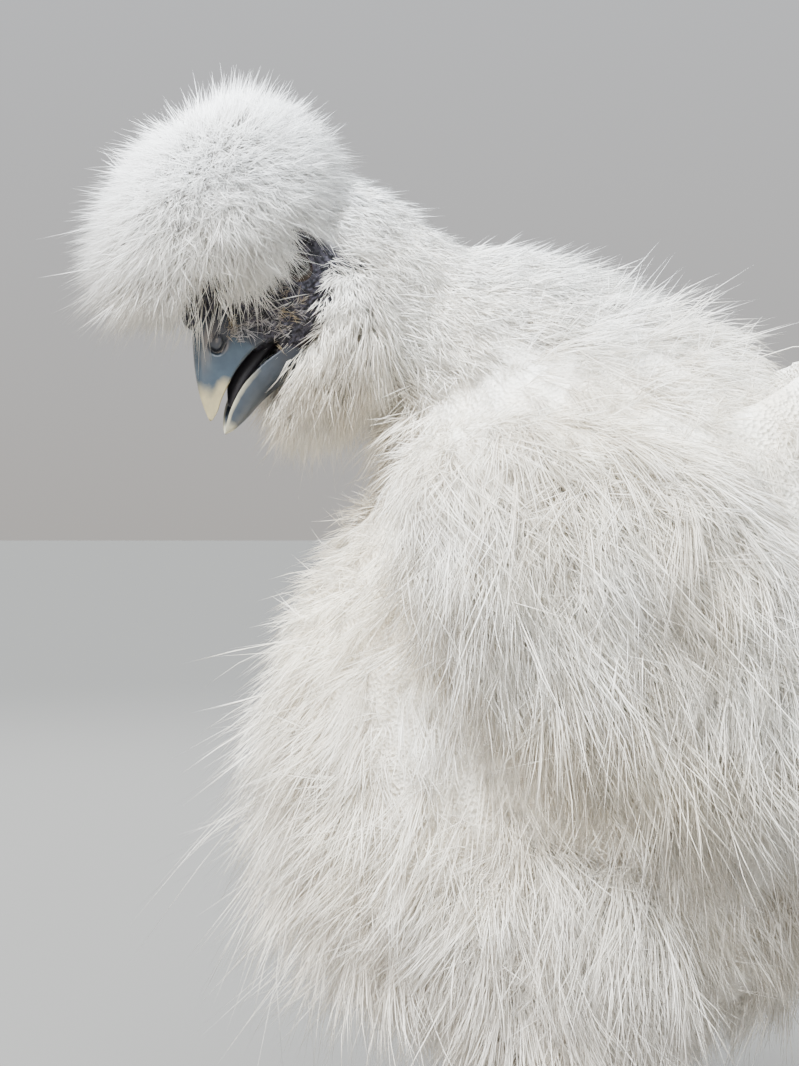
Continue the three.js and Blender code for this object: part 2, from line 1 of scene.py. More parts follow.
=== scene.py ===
import bpy
import json
import math
import numpy as np
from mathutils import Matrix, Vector

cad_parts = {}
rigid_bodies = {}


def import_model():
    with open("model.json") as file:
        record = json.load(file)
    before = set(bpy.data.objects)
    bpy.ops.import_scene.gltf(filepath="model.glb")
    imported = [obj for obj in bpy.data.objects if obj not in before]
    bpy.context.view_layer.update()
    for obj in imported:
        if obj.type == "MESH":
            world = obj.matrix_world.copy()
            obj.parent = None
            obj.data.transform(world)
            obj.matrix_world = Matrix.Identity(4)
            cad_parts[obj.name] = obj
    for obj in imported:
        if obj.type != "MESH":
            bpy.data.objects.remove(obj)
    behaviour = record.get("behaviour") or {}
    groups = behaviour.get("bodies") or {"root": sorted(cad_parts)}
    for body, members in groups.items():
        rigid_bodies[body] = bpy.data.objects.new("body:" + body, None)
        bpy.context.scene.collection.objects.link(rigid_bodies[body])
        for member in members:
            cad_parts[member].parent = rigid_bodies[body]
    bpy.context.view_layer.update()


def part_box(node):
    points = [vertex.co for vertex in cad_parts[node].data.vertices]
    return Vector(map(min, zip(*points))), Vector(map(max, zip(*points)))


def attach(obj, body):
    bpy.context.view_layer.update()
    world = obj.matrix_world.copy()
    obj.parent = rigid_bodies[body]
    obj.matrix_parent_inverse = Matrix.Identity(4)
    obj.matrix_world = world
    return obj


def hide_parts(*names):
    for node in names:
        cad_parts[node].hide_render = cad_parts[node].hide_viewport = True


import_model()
mm = 0.001

# The head's own directions, as in the CAD: forward along the bill, up through the crown, out to its left
headPose = {"pitch": 60.0, "turn": 20.0, "centre": (12.0, -21.6, 224.0)}
pitch, turn = math.radians(headPose["pitch"]), math.radians(headPose["turn"])
forward = np.array([math.cos(pitch) * math.sin(turn), -math.cos(pitch) * math.cos(turn), -math.sin(pitch)])
crown = np.array([math.sin(pitch) * math.sin(turn), -math.sin(pitch) * math.cos(turn), math.cos(pitch)])
outward = np.cross(crown, forward)
headCentre = np.array(headPose["centre"])
eyePlace = (4.8, 0.8, 9.4)  # mm forward, up and out from the head's centre


# A place f forward, u up and l out from the head's centre; the three may be arrays
def onHead(f, u, l):
    f, u, l = np.broadcast_arrays(*[np.asarray(a, float) for a in (f, u, l)])
    return headCentre + f[..., None] * forward + u[..., None] * crown + l[..., None] * outward


# The same three numbers, back from places in mm
def headCoords(points):
    off = points - headCentre
    return off @ forward, off @ crown, off @ outward


# The CAD's origin is under the middle of its box, so the left eye says how far the drawing is shifted
eyeLow, eyeHigh = (np.array(c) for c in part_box("eye_left"))
shift = (eyeLow + eyeHigh) / 2 / mm - onHead(*eyePlace)


# A vector over its own length
def unit(v):
    return v / (np.linalg.norm(v, axis=-1, keepdims=True) + 1e-12)


# The product of two vectors, summed over their last axis
def dot(a, b):
    return (a * b).sum(-1, keepdims=True)


# A mesh object from points in mm, of the drawing's frame, and a list or array of faces
def putMesh(name, points, faces):
    mesh = bpy.data.meshes.new(name)
    mesh.from_pydata(((points + shift) * mm).tolist(), [], [list(map(int, f)) for f in faces])
    mesh.polygons.foreach_set("use_smooth", np.full(len(mesh.polygons), True))
    mesh.update()
    piece = bpy.data.objects.new(name, mesh)
    bpy.context.collection.objects.link(piece)
    return piece


# Quads of a grid of rows x cols points, joined round its columns
def gridFaces(rows, cols):
    i, j = np.meshgrid(np.arange(rows - 1), np.arange(cols), indexing="ij")
    k = (j + 1) % cols
    return np.stack([i * cols + j, i * cols + k, (i + 1) * cols + k, (i + 1) * cols + j], -1).reshape(-1, 4)


# Points and faces of rings closed by a fan to one point at each end, turned to face outwards
def closedGrid(grid, first, last):
    rows, cols = grid.shape[:2]
    points = np.concatenate([grid.reshape(-1, 3), [first, last]])
    ring = np.arange(cols)
    near = np.stack([np.full(cols, rows * cols), (ring + 1) % cols, ring], -1)
    end = (rows - 1) * cols
    far = np.stack([np.full(cols, rows * cols + 1), end + ring, end + (ring + 1) % cols], -1)
    quads = gridFaces(rows, cols)
    a, b, c, d = (points[quads[:, k]] for k in range(4))
    volume = (np.cross(b - a, c - a) * (a + b + c)).sum() + (np.cross(c - a, d - a) * (a + c + d)).sum()
    faces = [list(f) for f in quads] + [list(f) for f in near] + [list(f) for f in far]
    if volume < 0:
        faces = [f[::-1] for f in faces]
    return points, faces


# A smooth curve through evenly spaced stops, by Catmull and Rom's cubic, at each u from 0 to 1
def throughStops(stops, u):
    stops = np.asarray(stops, float)
    ends = np.concatenate([[2 * stops[0] - stops[1]], stops, [2 * stops[-1] - stops[-2]]])
    place = np.clip(u, 0, 1) * (len(stops) - 1)
    k = np.minimum(place.astype(int), len(stops) - 2)
    t = (place - k)[..., None]
    p0, p1, p2, p3 = (ends[k + i] for i in range(4))
    bends, turns = 2 * p0 - 5 * p1 + 4 * p2 - p3, 3 * p1 - p0 - 3 * p2 + p3
    return 0.5 * (2 * p1 + (p2 - p0) * t + bends * t**2 + turns * t**3)


# A coat of the same depth, in mm, all over
def evenCoat(depth):
    return lambda place, n: np.full(len(place), float(depth))


# Oval sections strung along a spine, from stops of (place, half width, half depth) in mm
class Form:
    def __init__(self, stops, across=(1, 0, 0), blunt=2.3, coat=evenCoat(0)):
        self.spine = np.array([s[0] for s in stops], float)
        self.girth = np.array([s[1:] for s in stops], float)
        self.across = np.array(across, float)
        self.blunt = blunt
        self.coat = coat

    # Spine(u) + side * halfWidth * cos(2 pi v) + deep * halfDepth * sin(2 pi v), rounded at both ends
    def skin(self, u, v):
        centre = throughStops(self.spine, u)
        along = unit(throughStops(self.spine, u + 0.01) - throughStops(self.spine, u - 0.01))
        side = unit(self.across - dot(along, self.across) * along)
        deep = np.cross(along, side)
        girth = throughStops(self.girth, u)
        rounding = np.maximum(0, 1 - np.abs(2 * u - 1) ** self.blunt)[..., None] ** (1 / self.blunt)
        turned = 2 * np.pi * v[..., None]
        wide, thick = girth[..., :1] * rounding, girth[..., 1:] * rounding
        return centre + side * wide * np.cos(turned) + deep * thick * np.sin(turned)

    # How the skin moves with u and with v, by the difference of two places a step apart
    def slopes(self, u, v, d=0.004):
        alongU = (self.skin(np.minimum(u + d, 1), v) - self.skin(np.maximum(u - d, 0), v)) / (2 * d)
        alongV = (self.skin(u, v + d) - self.skin(u, v - d)) / (2 * d)
        return alongU, alongV

    # The way out of the skin: v's slope crossed with u's
    def normal(self, u, v):
        alongU, alongV = self.slopes(u, v)
        return unit(np.cross(alongV, alongU))

    # The skin, moved out by a share of the coat's depth and by a few mm more
    def surface(self, u, v, share=0.0, extra=0.0):
        place, normal = self.skin(u, v), self.normal(u, v)
        depth = self.coat(place.reshape(-1, 3), normal.reshape(-1, 3)).reshape(place.shape[:-1])
        return place + normal * (depth * share + extra)[..., None]

    # The same as a closed mesh, with its rows closer together towards both ends
    def mesh(self, rows, cols, share=0.0):
        u = (1 - np.cos(np.pi * np.arange(1, rows) / rows)) / 2
        uu, vv = np.meshgrid(u, np.arange(cols) / cols, indexing="ij")
        grid = self.surface(uu, vv, share)
        spine = throughStops(self.spine, np.array([0.0, 0.02, 0.98, 1.0]))
        outFirst, outLast = unit(spine[0] - spine[1]), unit(spine[3] - spine[2])
        first = spine[0] + outFirst * (self.coat(spine[:1], outFirst[None])[0] * share)
        last = spine[3] + outLast * (self.coat(spine[3:], outLast[None])[0] * share)
        return closedGrid(grid, first, last)

    # Random places spread evenly over the skin's area, kept where `where` allows them
    def roots(self, count, rng, where=None):
        found = []
        total = 0
        while total < count:
            u, v = rng.uniform(0.004, 0.996, 60000), rng.uniform(0, 1, 60000)
            alongU, alongV = self.slopes(u, v)
            area = np.linalg.norm(np.cross(alongU, alongV), axis=-1)
            keep = rng.uniform(0, 1, len(u)) < area / np.percentile(area, 99.5)
            u, v = u[keep], v[keep]
            if where is not None:
                place, normal = self.skin(u, v), self.normal(u, v)
                chance = where(place, normal)
                keep = rng.uniform(0, 1, len(u)) < chance
                u, v = u[keep], v[keep]
            found.append(np.stack([u, v], -1))
            total += len(u)
        return np.concatenate(found)[:count].T


# 0 before low and 1 past high, by 3 t^2 - 2 t^3 between
def smoothStep(low, high, x):
    t = np.clip((x - low) / (high - low), 0, 1)
    return t * t * (3 - 2 * t)


# Plumage depths in mm, as in the CAD: 15, deeper on top, below, low on the breast, at its collar and on the
# saddle, and thinner behind, under the belly and where it laps over the thighs
def torsoCoat(place, n):
    lowness = np.clip((158 - place[:, 2]) / 32, 0, 1)
    under, over, front = (np.maximum(0, a) for a in (-n[:, 2], n[:, 2], -n[:, 1]))
    behind = np.clip((place[:, 1] - 52) / 26, 0, 1)
    collar = np.clip((place[:, 2] - 176) / 12, 0, 1)
    lap = np.clip((100 - place[:, 2]) / 30, 0, 1)
    saddle = smoothStep(82, 98, place[:, 1]) * smoothStep(165, 182, place[:, 2])
    belly = smoothStep(95, 70, place[:, 2])
    return (15 + over * (2 - 5 * behind) + under * (5 - 10 * belly) + 6 * saddle
            + front * (14 * lowness - 7 + 6 * collar - 6 * lap))


# 15 mm, with more on the crown and the fringe, and less below and where it faces the sky
def crestCoat(place, n):
    over = n @ crown
    fringe = np.maximum(0, n @ forward)
    return 15 + 2 * np.maximum(0, over) - np.maximum(0, -over) - 3.5 * np.maximum(0, n[:, 2]) + 3.5 * fringe


# 9 mm, thinner along the top of the nape
def neckCoat(place, n):
    nape = np.clip((22 - place[:, 1]) / 20, 0, 1)
    return 9 - 4.5 * nape * np.maximum(0, n[:, 2])


sides = (("left", 1), ("right", -1))
footSpread, footForward = 27.0, 30.0

torso = Form([((0, 53, 208), 42, 48), ((0, 49, 184), 47, 58), ((0, 58, 163), 49, 53), ((0, 43, 131), 49, 62),
              ((0, 36, 104), 49, 58), ((0, 30, 80), 46, 54), ((0, 26, 60), 42, 50)],
             blunt=2.7, coat=torsoCoat)
neck = Form([((0, 55, 187), 38, 35), ((0, 35, 195.5), 32, 29), ((1, 16, 204.5), 24, 21.5),
             ((4, 2, 212), 17, 16.5), ((8, -7, 221.5), 14, 14), ((10, -13, 230), 13, 13),
             ((11, -19, 238), 11, 11)], coat=neckCoat)
skull = Form([(onHead(-14, 1, 0), 11, 11), (onHead(-5, 1, 0), 12.6, 12.6), (onHead(5, 0.5, 0), 12.4, 12.8),
              (onHead(13, 0, 0), 10.4, 12.4), (onHead(19, 0.6, 0), 8.6, 11.4),
              (onHead(22, 1.6, 0), 7.4, 9.6)],
             across=outward, blunt=3.2)
crestPuff = Form([(onHead(-19, 13, 0), 12, 11), (onHead(-6, 16.5, 0), 14, 13), (onHead(8, 19.5, 0), 14, 12.5),
                  (onHead(21, 21, 0), 10.5, 9)], across=outward, coat=crestCoat)
beardPuff = Form([(onHead(4, -15, 0), 8, 7), (onHead(13, -17.5, 0), 9.5, 7), (onHead(21, -15.5, 0), 8, 5.5),
                  (onHead(28, -12.8, 0), 5, 3)], across=outward, coat=evenCoat(9))


def muffPuff(s):
    return Form([(onHead(-1, -9.5, s * 9.5), 5, 6), (onHead(8, -13.5, s * 11), 6, 8),
                 (onHead(16, -16, s * 9.8), 5.5, 6.5), (onHead(24, -14.8, s * 7.6), 4.5, 4.5)],
                across=outward, coat=evenCoat(9))


def wingBlade(s):
    return Form([((s * 38, 5, 181), 9, 12), ((s * 49, 18, 170), 10, 22), ((s * 55, 44, 152), 10, 27),
                 ((s * 54, 70, 135), 7.5, 22), ((s * 49, 88, 121), 5, 13)],
                coat=lambda place, n: 8 + 9 * np.abs(n[:, 0]))


def thighDrum(s):
    return Form([((s * 27, 30, 124), 19, 26), ((s * 30, 32, 99), 20, 26), ((s * 30, 35, 77), 16, 20),
                 ((s * footSpread, 39, 58), 10, 12)], coat=lambda place, n: 14 + 3 * np.maximum(0, -n[:, 2]))


def featheringCuff(s):
    return Form([((s * footSpread, 41, 58), 6.5, 7), ((s * footSpread, 38.5, 40), 6, 6.5),
                 ((s * (footSpread + 0.5), 34, 24), 6, 6.4)], coat=lambda place, n: 5 + 2 * np.abs(n[:, 0]))


tailStump = Form([((0, 98, 174), 20, 19), ((0, 110, 167), 19, 20), ((0, 121, 158), 13, 15)],
                 coat=lambda place, n: 8 + 8 * np.clip((place[:, 1] - 102) / 14, 0, 1))


def shankTube(s):
    return Form([((s * footSpread, 42, 64), 5.2, 5.8), ((s * footSpread, 40, 48), 4.4, 5),
                 ((s * footSpread, 35, 28), 4.2, 4.6), ((s * footSpread, footForward + 1.5, 8.5), 4.8, 5.2)],
                blunt=6)


# Toes of the left foot: degrees from straight ahead, length, height of the root, rise to the end
toes = {"inner": (-28, 29, 3.5, -1.4), "middle": (4, 38, 3.5, -1.4), "outer": (34, 30, 3.5, -1.4),
        "hind": (158, 15, 3.5, -1.4), "fifth": (196, 19, 8.5, 8)}
toeGirths = (4.3, 3.5, 3.7, 3.2, 2.9, 2.5)


def toeRay(s, name):
    turned, length, root, rise = toes[name]
    turned = math.radians(turned)
    heading = np.array([s * math.sin(turned), -math.cos(turned), rise / length])
    return heading, length, np.array([s * footSpread, footForward, root])


def toeForm(s, name):
    heading, length, root = toeRay(s, name)
    stops = [(root + heading * length * k / 5, g, g) for k, g in enumerate(toeGirths)]
    return Form(stops, across=(0, 0, 1), blunt=7)


# Lights, camera and floor
stage = {"floorColour": (0.155, 0.149, 0.14), "floorReach": 40.0, "world": (0.88, 0.93, 1.0),
         "worldLow": (0.60, 0.575, 0.55), "worldStrength": 0.9}
cameraSet = {"distance": 400.0, "height": 166.0, "tilt": 0.0, "lens": 62.15}


def makeStage():
    mesh = bpy.data.meshes.new("floor")
    far = stage["floorReach"]
    mesh.from_pydata([(-far, -far, 0), (far, -far, 0), (far, far, 0), (-far, far, 0)], [], [(0, 1, 2, 3)])
    floor = bpy.data.objects.new("floor", mesh)
    bpy.context.collection.objects.link(floor)
    paint = bpy.data.materials.new("studioFloor")
    paint.use_nodes = True
    bsdf = paint.node_tree.nodes["Principled BSDF"]
    bsdf.inputs["Base Color"].default_value = (*stage["floorColour"], 1)
    bsdf.inputs["Roughness"].default_value = 0.9
    bsdf.inputs["Specular IOR Level"].default_value = 0.1
    mesh.materials.append(paint)
    world = bpy.data.worlds.new("studio")
    world.use_nodes = True
    nodes, links = world.node_tree.nodes, world.node_tree.links
    back = nodes["Background"]
    height = nodes.new("ShaderNodeSeparateXYZ")
    links.new(nodes.new("ShaderNodeTexCoord").outputs["Generated"], height.inputs[0])
    sky = nodes.new("ShaderNodeValToRGB")
    sky.color_ramp.elements[0].color = (*stage["worldLow"], 1)
    sky.color_ramp.elements[0].position = 0.0
    sky.color_ramp.elements[1].color = (*stage["world"], 1)
    sky.color_ramp.elements[1].position = 0.6
    links.new(height.outputs["Z"], sky.inputs["Fac"])
    links.new(sky.outputs["Color"], back.inputs[0])
    back.inputs[1].default_value = stage["worldStrength"]
    bpy.context.scene.world = world


def areaLight(name, place, target, size, power, colour):
    lamp = bpy.data.lights.new(name, "AREA")
    lamp.size = size
    lamp.energy = power
    lamp.color = colour
    piece = bpy.data.objects.new(name, lamp)
    piece.location = place
    piece.rotation_euler = (Vector(target) - Vector(place)).to_track_quat("-Z", "Y").to_euler()
    piece.visible_camera = False
    bpy.context.collection.objects.link(piece)


def makeCamera():
    eye = np.array([cameraSet["distance"], 0, cameraSet["height"]]) + shift
    lens = bpy.data.cameras.new("camera")
    lens.sensor_fit = "VERTICAL"
    lens.sensor_height = 36.0
    lens.sensor_width = 36.0
    lens.lens = cameraSet["lens"]
    lens.clip_start = 0.01
    camera = bpy.data.objects.new("camera", lens)
    camera.location = Vector(eye * mm)
    camera.rotation_euler = (math.radians(90 - cameraSet["tilt"]), 0, math.radians(90))
    bpy.context.collection.objects.link(camera)
    bpy.context.scene.camera = camera


def makeSky():
    sun = bpy.data.lights.new("skyKey", "SUN")
    sun.energy = skyKey["power"]
    sun.angle = math.radians(skyKey["spread"])
    sun.color = skyKey["colour"]
    key = bpy.data.objects.new("skyKey", sun)
    key.rotation_euler = Vector(skyKey["from"]).to_track_quat("Z", "Y").to_euler()
    bpy.context.collection.objects.link(key)


skyKey = {"power": 16.0, "spread": 50.0, "from": (0.8, -0.25, 1.0), "colour": (0.89, 0.955, 1.0)}
areaLights = {"fillLight": {"place": (0.9, -1.0, 0.25), "target": (0, 0, 0.15), "size": 1.0, "power": 11,
                            "colour": (1.0, 0.82, 0.64)},
              "rimLight": {"place": (-0.9, -0.3, 0.9), "target": (0, 0, 0.15), "size": 0.7, "power": 20,
                           "colour": (0.93, 0.97, 1.0)},
              "headKey": {"place": (0.26, -0.16, 0.46), "target": (0.01, -0.06, 0.22), "size": 0.2,
                          "power": 3.2, "colour": (0.95, 0.98, 1.0)}}
makeStage()
makeCamera()
makeSky()
for name, lamp in areaLights.items():
    areaLight(name, **lamp)
print("stage, lights and camera set")


# Materials
def newMaterial(name):
    material = bpy.data.materials.new(name)
    material.use_nodes = True
    tree = material.node_tree
    return material, tree.nodes, tree.links, tree.nodes["Principled BSDF"]


# A shader node group, with its inputs and outputs given as a type for each name
def newGroup(name, inputs, outputs):
    group = bpy.data.node_groups.new(name, "ShaderNodeTree")
    for label, kind in inputs.items():
        group.interface.new_socket(name=label, in_out="INPUT", socket_type="NodeSocket" + kind)
    for label, kind in outputs.items():
        group.interface.new_socket(name=label, in_out="OUTPUT", socket_type="NodeSocket" + kind)
    return group, group.nodes.new("NodeGroupInput").outputs, group.nodes.new("NodeGroupOutput").inputs


# A group placed in a material, with its own values or links for the group's inputs
def placeGroup(nodes, links, group, **values):
    node = nodes.new("ShaderNodeGroup")
    node.node_tree = group
    for label, value in values.items():
        setSocket(links, node.inputs[label], value)
    return node.outputs


def setSocket(links, socket, value):
    if isinstance(value, bpy.types.NodeSocket):
        links.new(value, socket)
    elif isinstance(value, tuple):
        socket.default_value = (*value, 1)
    else:
        socket.default_value = value


def noise(nodes, links, scale, detail=4.0, source=None):
    node = nodes.new("ShaderNodeTexNoise")
    setSocket(links, node.inputs["Scale"], scale)
    node.inputs["Detail"].default_value = detail
    node.inputs["Roughness"].default_value = 0.55
    if source is None:
        source = nodes.new("ShaderNodeTexCoord").outputs["Object"]
    links.new(source, node.inputs["Vector"])
    return node.outputs["Fac"]


def ramp(nodes, links, source, stops):
    node = nodes.new("ShaderNodeValToRGB")
    elements = node.color_ramp.elements
    while len(elements) < len(stops):
        elements.new(0.5)
    for element, (place, colour) in zip(elements, stops):
        element.position = place
        element.color = (*colour, 1)
    links.new(source, node.inputs["Fac"])
    return node.outputs["Color"]


def mix(nodes, links, factor, a, b, blend="MIX"):
    node = nodes.new("ShaderNodeMix")
    node.data_type = "RGBA"
    node.blend_type = blend
    for value, socket in ((factor, 0), (a, 6), (b, 7)):
        setSocket(links, node.inputs[socket], value)
    return node.outputs[2]


def product(nodes, links, a, b):
    node = nodes.new("ShaderNodeMath")
    node.operation = "MULTIPLY"
    links.new(a, node.inputs[0])
    links.new(b, node.inputs[1])
    return node.outputs[0]


# 0 where the source is `low`, `most` where it is `high`, and straight between; high may be under low
def fade(nodes, links, source, low, high, most=1.0):
    node = nodes.new("ShaderNodeMapRange")
    node.inputs["From Min"].default_value = low
    node.inputs["From Max"].default_value = high
    node.inputs["To Max"].default_value = most
    links.new(source, node.inputs["Value"])
    return node.outputs["Result"]


def attribute(nodes, name):
    node = nodes.new("ShaderNodeAttribute")
    node.attribute_name = name
    return node.outputs["Fac"]


def bump(nodes, links, bsdf, height, strength, distance):
    node = nodes.new("ShaderNodeBump")
    node.inputs["Strength"].default_value = strength
    node.inputs["Distance"].default_value = distance
    links.new(height, node.inputs["Height"])
    links.new(node.outputs["Normal"], bsdf.inputs["Normal"])


# White silk that turns creamy in drifts down the flanks, with painted warm shade between the locks there, and
# painted shade with a warm bounce light near the legs
# The low tone is painted shade with a warm bounce light, laid on towards the legs between two heights in m, at
# most by the last share; the root tone is partly painted shade
plumageTones = {"white": (0.93, 0.93, 0.925), "cream": (0.90, 0.83, 0.69), "root": (0.80, 0.72, 0.60),
                "low": (0.80, 0.72, 0.62), "fold": (0.60, 0.52, 0.40), "driftScale": 22.0, "foldScale": 75.0,
                "flank": (0.235, 0.185), "lowShadeHeights": (0.135, 0.055), "lowShadeMost": 0.55}


def plumageGroup():
    group, given, result = newGroup("plumageTint", {"driftScale": "Float", "foldScale": "Float"},
                                    {"Color": "Color"})
    nodes, links = group.nodes, group.links
    place = nodes.new("ShaderNodeTexCoord").outputs["Object"]
    split = nodes.new("ShaderNodeSeparateXYZ")
    links.new(place, split.inputs[0])
    flank = fade(nodes, links, split.outputs["Z"], *plumageTones["flank"])
    drift = ramp(nodes, links, noise(nodes, links, given["driftScale"], 3.0, place),
                 [(0.38, (0.45, 0.45, 0.45)), (0.62, (1, 1, 1))])
    stain = product(nodes, links, flank, drift)
    upper = mix(nodes, links, stain, plumageTones["white"], plumageTones["cream"])
    stretch = nodes.new("ShaderNodeMapping")
    stretch.inputs["Scale"].default_value = (1, 1, 0.32)
    links.new(place, stretch.inputs["Vector"])
    # Painted shade: warmer, darker streaks between the locks, on the flanks only
    lockGapShades = ramp(nodes, links, noise(nodes, links, given["foldScale"], 2.0, stretch.outputs["Vector"]),
                 [(0.36, (0.6, 0.6, 0.6)), (0.58, (0, 0, 0))])
    upper = mix(nodes, links, product(nodes, links, lockGapShades, flank), upper, plumageTones["fold"])
    # Painted shade and warm bounce light, darker and warmer towards the legs
    low = fade(nodes, links, split.outputs["Z"], *plumageTones["lowShadeHeights"], plumageTones["lowShadeMost"])
    links.new(mix(nodes, links, low, upper, plumageTones["low"]), result["Color"])
    return group


plumageTint = plumageGroup()


def plumageColour(nodes, links):
    return placeGroup(nodes, links, plumageTint, driftScale=plumageTones["driftScale"],
                      foldScale=plumageTones["foldScale"])["Color"]


def plumageMaterial():
    material, nodes, links, bsdf = newMaterial("silkPlumage")
    # Each strand's lower half turns to the root tone: partly the down's own warmer roots, partly painted shade
    # deep in the coat
    nearRoot = ramp(nodes, links, attribute(nodes, "strand"), [(0.0, (1, 1, 1)), (0.5, (0, 0, 0))])
    colour = mix(nodes, links, nearRoot, plumageColour(nodes, links), plumageTones["root"])
    links.new(colour, bsdf.inputs["Base Color"])
    bsdf.inputs["Roughness"].default_value = 0.55
    bsdf.inputs["Specular IOR Level"].default_value = 0.3
    bsdf.inputs["Sheen Weight"].default_value = 0.3
    bsdf.inputs["Sheen Roughness"].default_value = 0.5
    return material


# Golden and grey hairs on the face
def bristleMaterial():
    material, nodes, links, bsdf = newMaterial("faceBristle")
    tone = ramp(nodes, links, noise(nodes, links, 180.0, 2.0),
                [(0.42, (0.36, 0.28, 0.17)), (0.6, (0.42, 0.40, 0.40))])
    links.new(tone, bsdf.inputs["Base Color"])
    bsdf.inputs["Roughness"].default_value = 0.6
    return material


# Pale down under the coat, mottled slate skin on the face, slate scales on the legs, and painted black shade
# inside the mouth
def skinMaterial():
    material, nodes, links, bsdf = newMaterial("birdSkin")
    bare, leg, gapeShade = (attribute(nodes, a) for a in ("bare", "leg", "gapeShade"))
    mottle = ramp(nodes, links, noise(nodes, links, 900.0, 5.0),
                  [(0.42, (0.016, 0.016, 0.022)), (0.72, (0.12, 0.112, 0.145))])
    scales = ramp(nodes, links, noise(nodes, links, 500.0, 3.0),
                  [(0.35, (0.018, 0.021, 0.028)), (0.7, (0.055, 0.063, 0.077))])
    colour = mix(nodes, links, bare, plumageColour(nodes, links), mottle)
    colour = mix(nodes, links, leg, colour, scales)
    # Painted shade: the mouth's hollow is near black
    colour = mix(nodes, links, gapeShade, colour, (0.006, 0.005, 0.007))
    links.new(colour, bsdf.inputs["Base Color"])
    bsdf.inputs["Roughness"].default_value = 0.62
    bsdf.inputs["Specular IOR Level"].default_value = 0.35
    pebbles = nodes.new("ShaderNodeTexVoronoi")
    pebbles.inputs["Scale"].default_value = 1100.0
    links.new(nodes.new("ShaderNodeTexCoord").outputs["Object"], pebbles.inputs["Vector"])
    bump(nodes, links, bsdf, pebbles.outputs["Distance"], 0.9, 0.0009)
    return material


horns = {"upperHorn": {"base": (0.052, 0.076, 0.104), "tip": (0.45, 0.385, 0.22), "rough": 0.25},
         "lowerHorn": {"base": (0.043, 0.056, 0.075), "tip": (0.40, 0.38, 0.28), "rough": 0.3},
         "clawHorn": {"base": (0.045, 0.046, 0.052), "tip": (0.28, 0.255, 0.21), "rough": 0.35}}


# Horn from base to tip colour by the pale mask and streaks, cloudy all over, dark in the cere, with painted
# shade inside the mouth, and near black as painted shade in the nostril's groove
def hornGroup():
    group, given, result = newGroup(
        "hornTint", {"base": "Color", "tip": "Color", "pale": "Float", "cereAndMouthShade": "Float", "groove": "Float"},
        {"Color": "Color", "Streaks": "Float"})
    nodes, links = group.nodes, group.links
    streaks = noise(nodes, links, 520.0, 4.0)
    wander = nodes.new("ShaderNodeMath")
    wander.operation = "MULTIPLY_ADD"
    links.new(streaks, wander.inputs[0])
    wander.inputs[1].default_value = 0.3
    links.new(given["pale"], wander.inputs[2])
    blend = mix(nodes, links, fade(nodes, links, wander.outputs[0], 0.35, 0.85), given["base"], given["tip"])
    clouds = ramp(nodes, links, noise(nodes, links, 300.0, 3.0),
                  [(0.3, (0.74, 0.75, 0.78)), (0.7, (1.06, 1.05, 1.03))])
    horn = mix(nodes, links, 1.0, blend, clouds, "MULTIPLY")
    # Dark slate on the cere outside, and painted mouth shade on the bill's inner faces
    horn = mix(nodes, links, given["cereAndMouthShade"], horn, (0.036, 0.039, 0.05))
    # Painted black shade in the nostril's groove
    horn = mix(nodes, links, given["groove"], horn, (0.003, 0.003, 0.004))
    links.new(horn, result["Color"])
    links.new(streaks, result["Streaks"])
    return group


hornTint = hornGroup()


def hornMaterial(name):
    material, nodes, links, bsdf = newMaterial(name)
    masks = {mask: attribute(nodes, mask) for mask in ("pale", "cereAndMouthShade", "groove")}
    horn = placeGroup(nodes, links, hornTint, base=horns[name]["base"], tip=horns[name]["tip"], **masks)
    links.new(horn["Color"], bsdf.inputs["Base Color"])
    bsdf.inputs["Roughness"].default_value = horns[name]["rough"]
    bsdf.inputs["Coat Weight"].default_value = 0.3
    bsdf.inputs["Coat Roughness"].default_value = 0.22
    bump(nodes, links, bsdf, horn["Streaks"], 0.2, 0.0004)
    return material


# Black pupil, dark brown iris kept near black as painted shade, and black rim by the `along` attribute, which
# is 1 at the pupil's centre
def eyeMaterial():
    material, nodes, links, bsdf = newMaterial("eyeGloss")
    rings = ramp(nodes, links, attribute(nodes, "along"),
                 [(0.0, (0.01, 0.008, 0.008)), (0.55, (0.022, 0.011, 0.007)), (0.8, (0.03, 0.014, 0.008)),
                  (0.86, (0.003, 0.003, 0.003))])
    links.new(rings, bsdf.inputs["Base Color"])
    bsdf.inputs["Roughness"].default_value = 0.06
    bsdf.inputs["Coat Weight"].default_value = 1.0
    bsdf.inputs["Coat Roughness"].default_value = 0.02
    return material


plumage, bristle = plumageMaterial(), bristleMaterial()
birdSkin = skinMaterial()
print("materials ready")


# One value for each of the mesh's vertices, for its material to read
def setAttribute(piece, name, values):
    layer = piece.data.attributes.new(name, "FLOAT", "POINT")
    layer.data.foreach_set("value", np.asarray(values, np.float32))


# Skin: every fleshy form, fused into one surface
skinSet = {"voxel": 1.15, "smoothing": 8, "share": 0.2}  # share of the coat's depth that the skin takes
lidSet = {"ring": 4.5, "tube": 1.25, "lift": 1.5, "oval": 0.86}


# A torus round the eye: its tube is lifted off the head's side
def lidRing(s):
    a, b = np.meshgrid(np.arange(36) / 36 * 2 * np.pi, np.arange(12) / 12 * 2 * np.pi, indexing="ij")
    f, u, l = eyePlace
    around = lidSet["ring"] + lidSet["tube"] * np.cos(b)
    out = l + lidSet["lift"] + lidSet["tube"] * np.sin(b)
    grid = onHead(f + around * np.cos(a), u + around * np.sin(a) * lidSet["oval"], s * out)
    faces = gridFaces(37, 12) % (36 * 12)
    return grid.reshape(-1, 3), [list(q) for q in (faces if s > 0 else faces[:, ::-1])]


